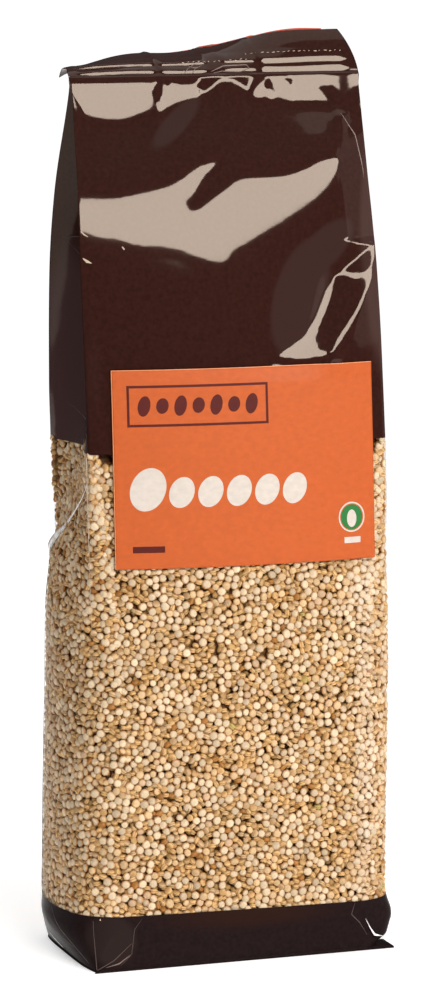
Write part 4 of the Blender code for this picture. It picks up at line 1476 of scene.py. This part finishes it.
# The other softboxes: azimuth, distance, lower and upper edge, width, radiance and colour
SOFTBOXES = {
    "rear_strip": (-163.0, 1.2, 0.75, 1.35, 0.5, 9.0, WHITE),
    "right_strip": (64.0, 1.3, 0.05, 1.05, 0.8, 0.75, (1.0, 0.93, 0.93)),
    "left_softbox": (-78.0, 1.5, 0.55, 1.35, 0.9, 0.7, (1.0, 0.95, 0.88)),
}
LIGHT_AIM = Vector((0.0, 0.0, 0.2))
OVERHEAD_SIZE = (1.8, 1.4)
OVERHEAD_PLACE = (0.0, 0.15, 1.7)
OVERHEAD_RADIANCE = 1.0
CAMERA_BACKGROUND = 1.05
ROOM_DARK = (0.06, 0.06, 0.06)
ROOM_LIGHT = (0.27, 0.26, 0.26)
FLOOR_RADII = (0.001, 0.15, 0.5, 0.9)
FLOOR_SIDES = 128
FLOOR_GLOW = 0.40


def direction(azimuth, elevation=0.0):
    """A unit vector. Azimuth 0 is towards -Y and 90 towards +X."""
    a, e = math.radians(azimuth), math.radians(elevation)
    return Vector((math.sin(a) * math.cos(e), -math.cos(a) * math.cos(e), math.sin(e)))


def make_camera():
    data = bpy.data.cameras.new("camera")
    made = linked("camera", data)
    place = direction(-CAMERA_AZIMUTH) * CAMERA_DISTANCE
    place.z = CAMERA_HEIGHT
    forward = -direction(-CAMERA_AZIMUTH - CAMERA_YAW, CAMERA_PITCH)
    side = forward.cross(Vector((0, 0, 1))).normalized()
    over = side.cross(forward)
    roll = math.radians(CAMERA_ROLL)
    right = math.cos(roll) * side + math.sin(roll) * over
    up = math.cos(roll) * over - math.sin(roll) * side
    made.matrix_world = Matrix((right, up, -forward)).transposed().to_4x4()
    made.location = place - Vector((*ORIGIN, 0.0))
    data.lens = CAMERA_PIXELS / LONG_SIDE_PIXELS * data.sensor_width
    data.clip_start = 0.05
    bpy.context.scene.camera = made


def area_light(name, width, height, radiance, colour):
    """A rectangular light that faces down, which the camera doesn't see."""
    data = bpy.data.lights.new(name, "AREA")
    data.shape = "RECTANGLE"
    data.size, data.size_y = width, height
    data.energy = radiance * math.pi * data.size * data.size_y
    data.color = colour
    made = linked(name, data)
    made.visible_camera = False
    return made


def soft_light(name, azimuth, distance, low, high, width, radiance, colour):
    """A light that stands between two heights and leans to face the bag."""
    middle = direction(azimuth) * distance + Vector((0.0, 0.0, (low + high) / 2))
    facing = (LIGHT_AIM - middle).normalized()
    made = area_light(name, width, (high - low) * math.cos(math.asin(-facing.z)), radiance, colour)
    made.location = middle
    made.rotation_mode = "QUATERNION"
    made.rotation_quaternion = facing.to_track_quat("-Z", "Y")


def make_lights():
    key_width = 2.0 * KEY_DISTANCE * math.tan(math.radians(KEY_SPREAD / 2))
    key = (KEY_AZIMUTH, KEY_DISTANCE, KEY_LOW, KEY_HIGH, key_width, KEY_RADIANCE, KEY_COLOUR)
    for name, given in {"key_softbox": key, **SOFTBOXES}.items():
        soft_light(name, *given)
    area_light("overhead", *OVERHEAD_SIZE, OVERHEAD_RADIANCE, WHITE).location = OVERHEAD_PLACE


def make_world():
    """A dim room, darkest at the horizon, that the camera sees as plain white."""
    world = bpy.data.worlds.new("room")
    bpy.context.scene.world = world
    world.use_nodes = True
    world.node_tree.nodes.clear()
    nodes = Nodes(world.node_tree)
    apart = nodes.add("SeparateXYZ", {"Vector": nodes.place.outputs["Generated"]})
    shade = nodes.ramp(apart.outputs["Z"], (0.3, ROOM_DARK), (1.0, ROOM_LIGHT))
    room = nodes.add("Background", {"Color": shade, "Strength": 1.0})
    white = nodes.add("Background", {"Color": (*WHITE, 1.0), "Strength": CAMERA_BACKGROUND})
    rays = nodes.add("LightPath", {})
    nodes.add("OutputWorld", {"Surface": nodes.mix_shader(rays.outputs["Is Camera Ray"], room, white)})


def make_floor():
    """A round pale floor."""
    angle = np.linspace(0.0, 2.0 * math.pi, FLOOR_SIDES, endpoint=False)
    rings = [np.column_stack([r * np.cos(angle), r * np.sin(angle), 0.0 * angle]) for r in FLOOR_RADII]
    mesh = bpy.data.meshes.new("floor")
    faces = grid_faces(len(rings), FLOOR_SIDES, True)
    mesh.from_pydata(np.concatenate(rings).tolist(), [], faces.tolist())
    made, nodes, shader = new_material("floor")
    shade = nodes.ramp(nodes.noise(scale=60.0), (0.0, scaled(WHITE, 0.93)), (1.0, scaled(WHITE, 0.96)))
    nodes.fill(shader, {
        "Base Color": shade,
        "Roughness": 0.9, "Specular IOR Level": 0.0,
        "Emission Color": (*WHITE, 1.0), "Emission Strength": FLOOR_GLOW,
    })
    mesh.materials.append(made)
    linked("floor", mesh)


film = surface_samples()
draws = np.random.default_rng(SEED)
make_camera()
make_world()
make_lights()
make_floor()
make_printed_top()
make_window()
make_base()
make_floor_flap()
make_core()
make_label()
make_label_print()
make_strip()
make_painted_glints()
make_outer_grains(draws, *film)
make_inner_grains(draws, *film)

bpy.context.scene.view_settings.view_transform = "Standard"
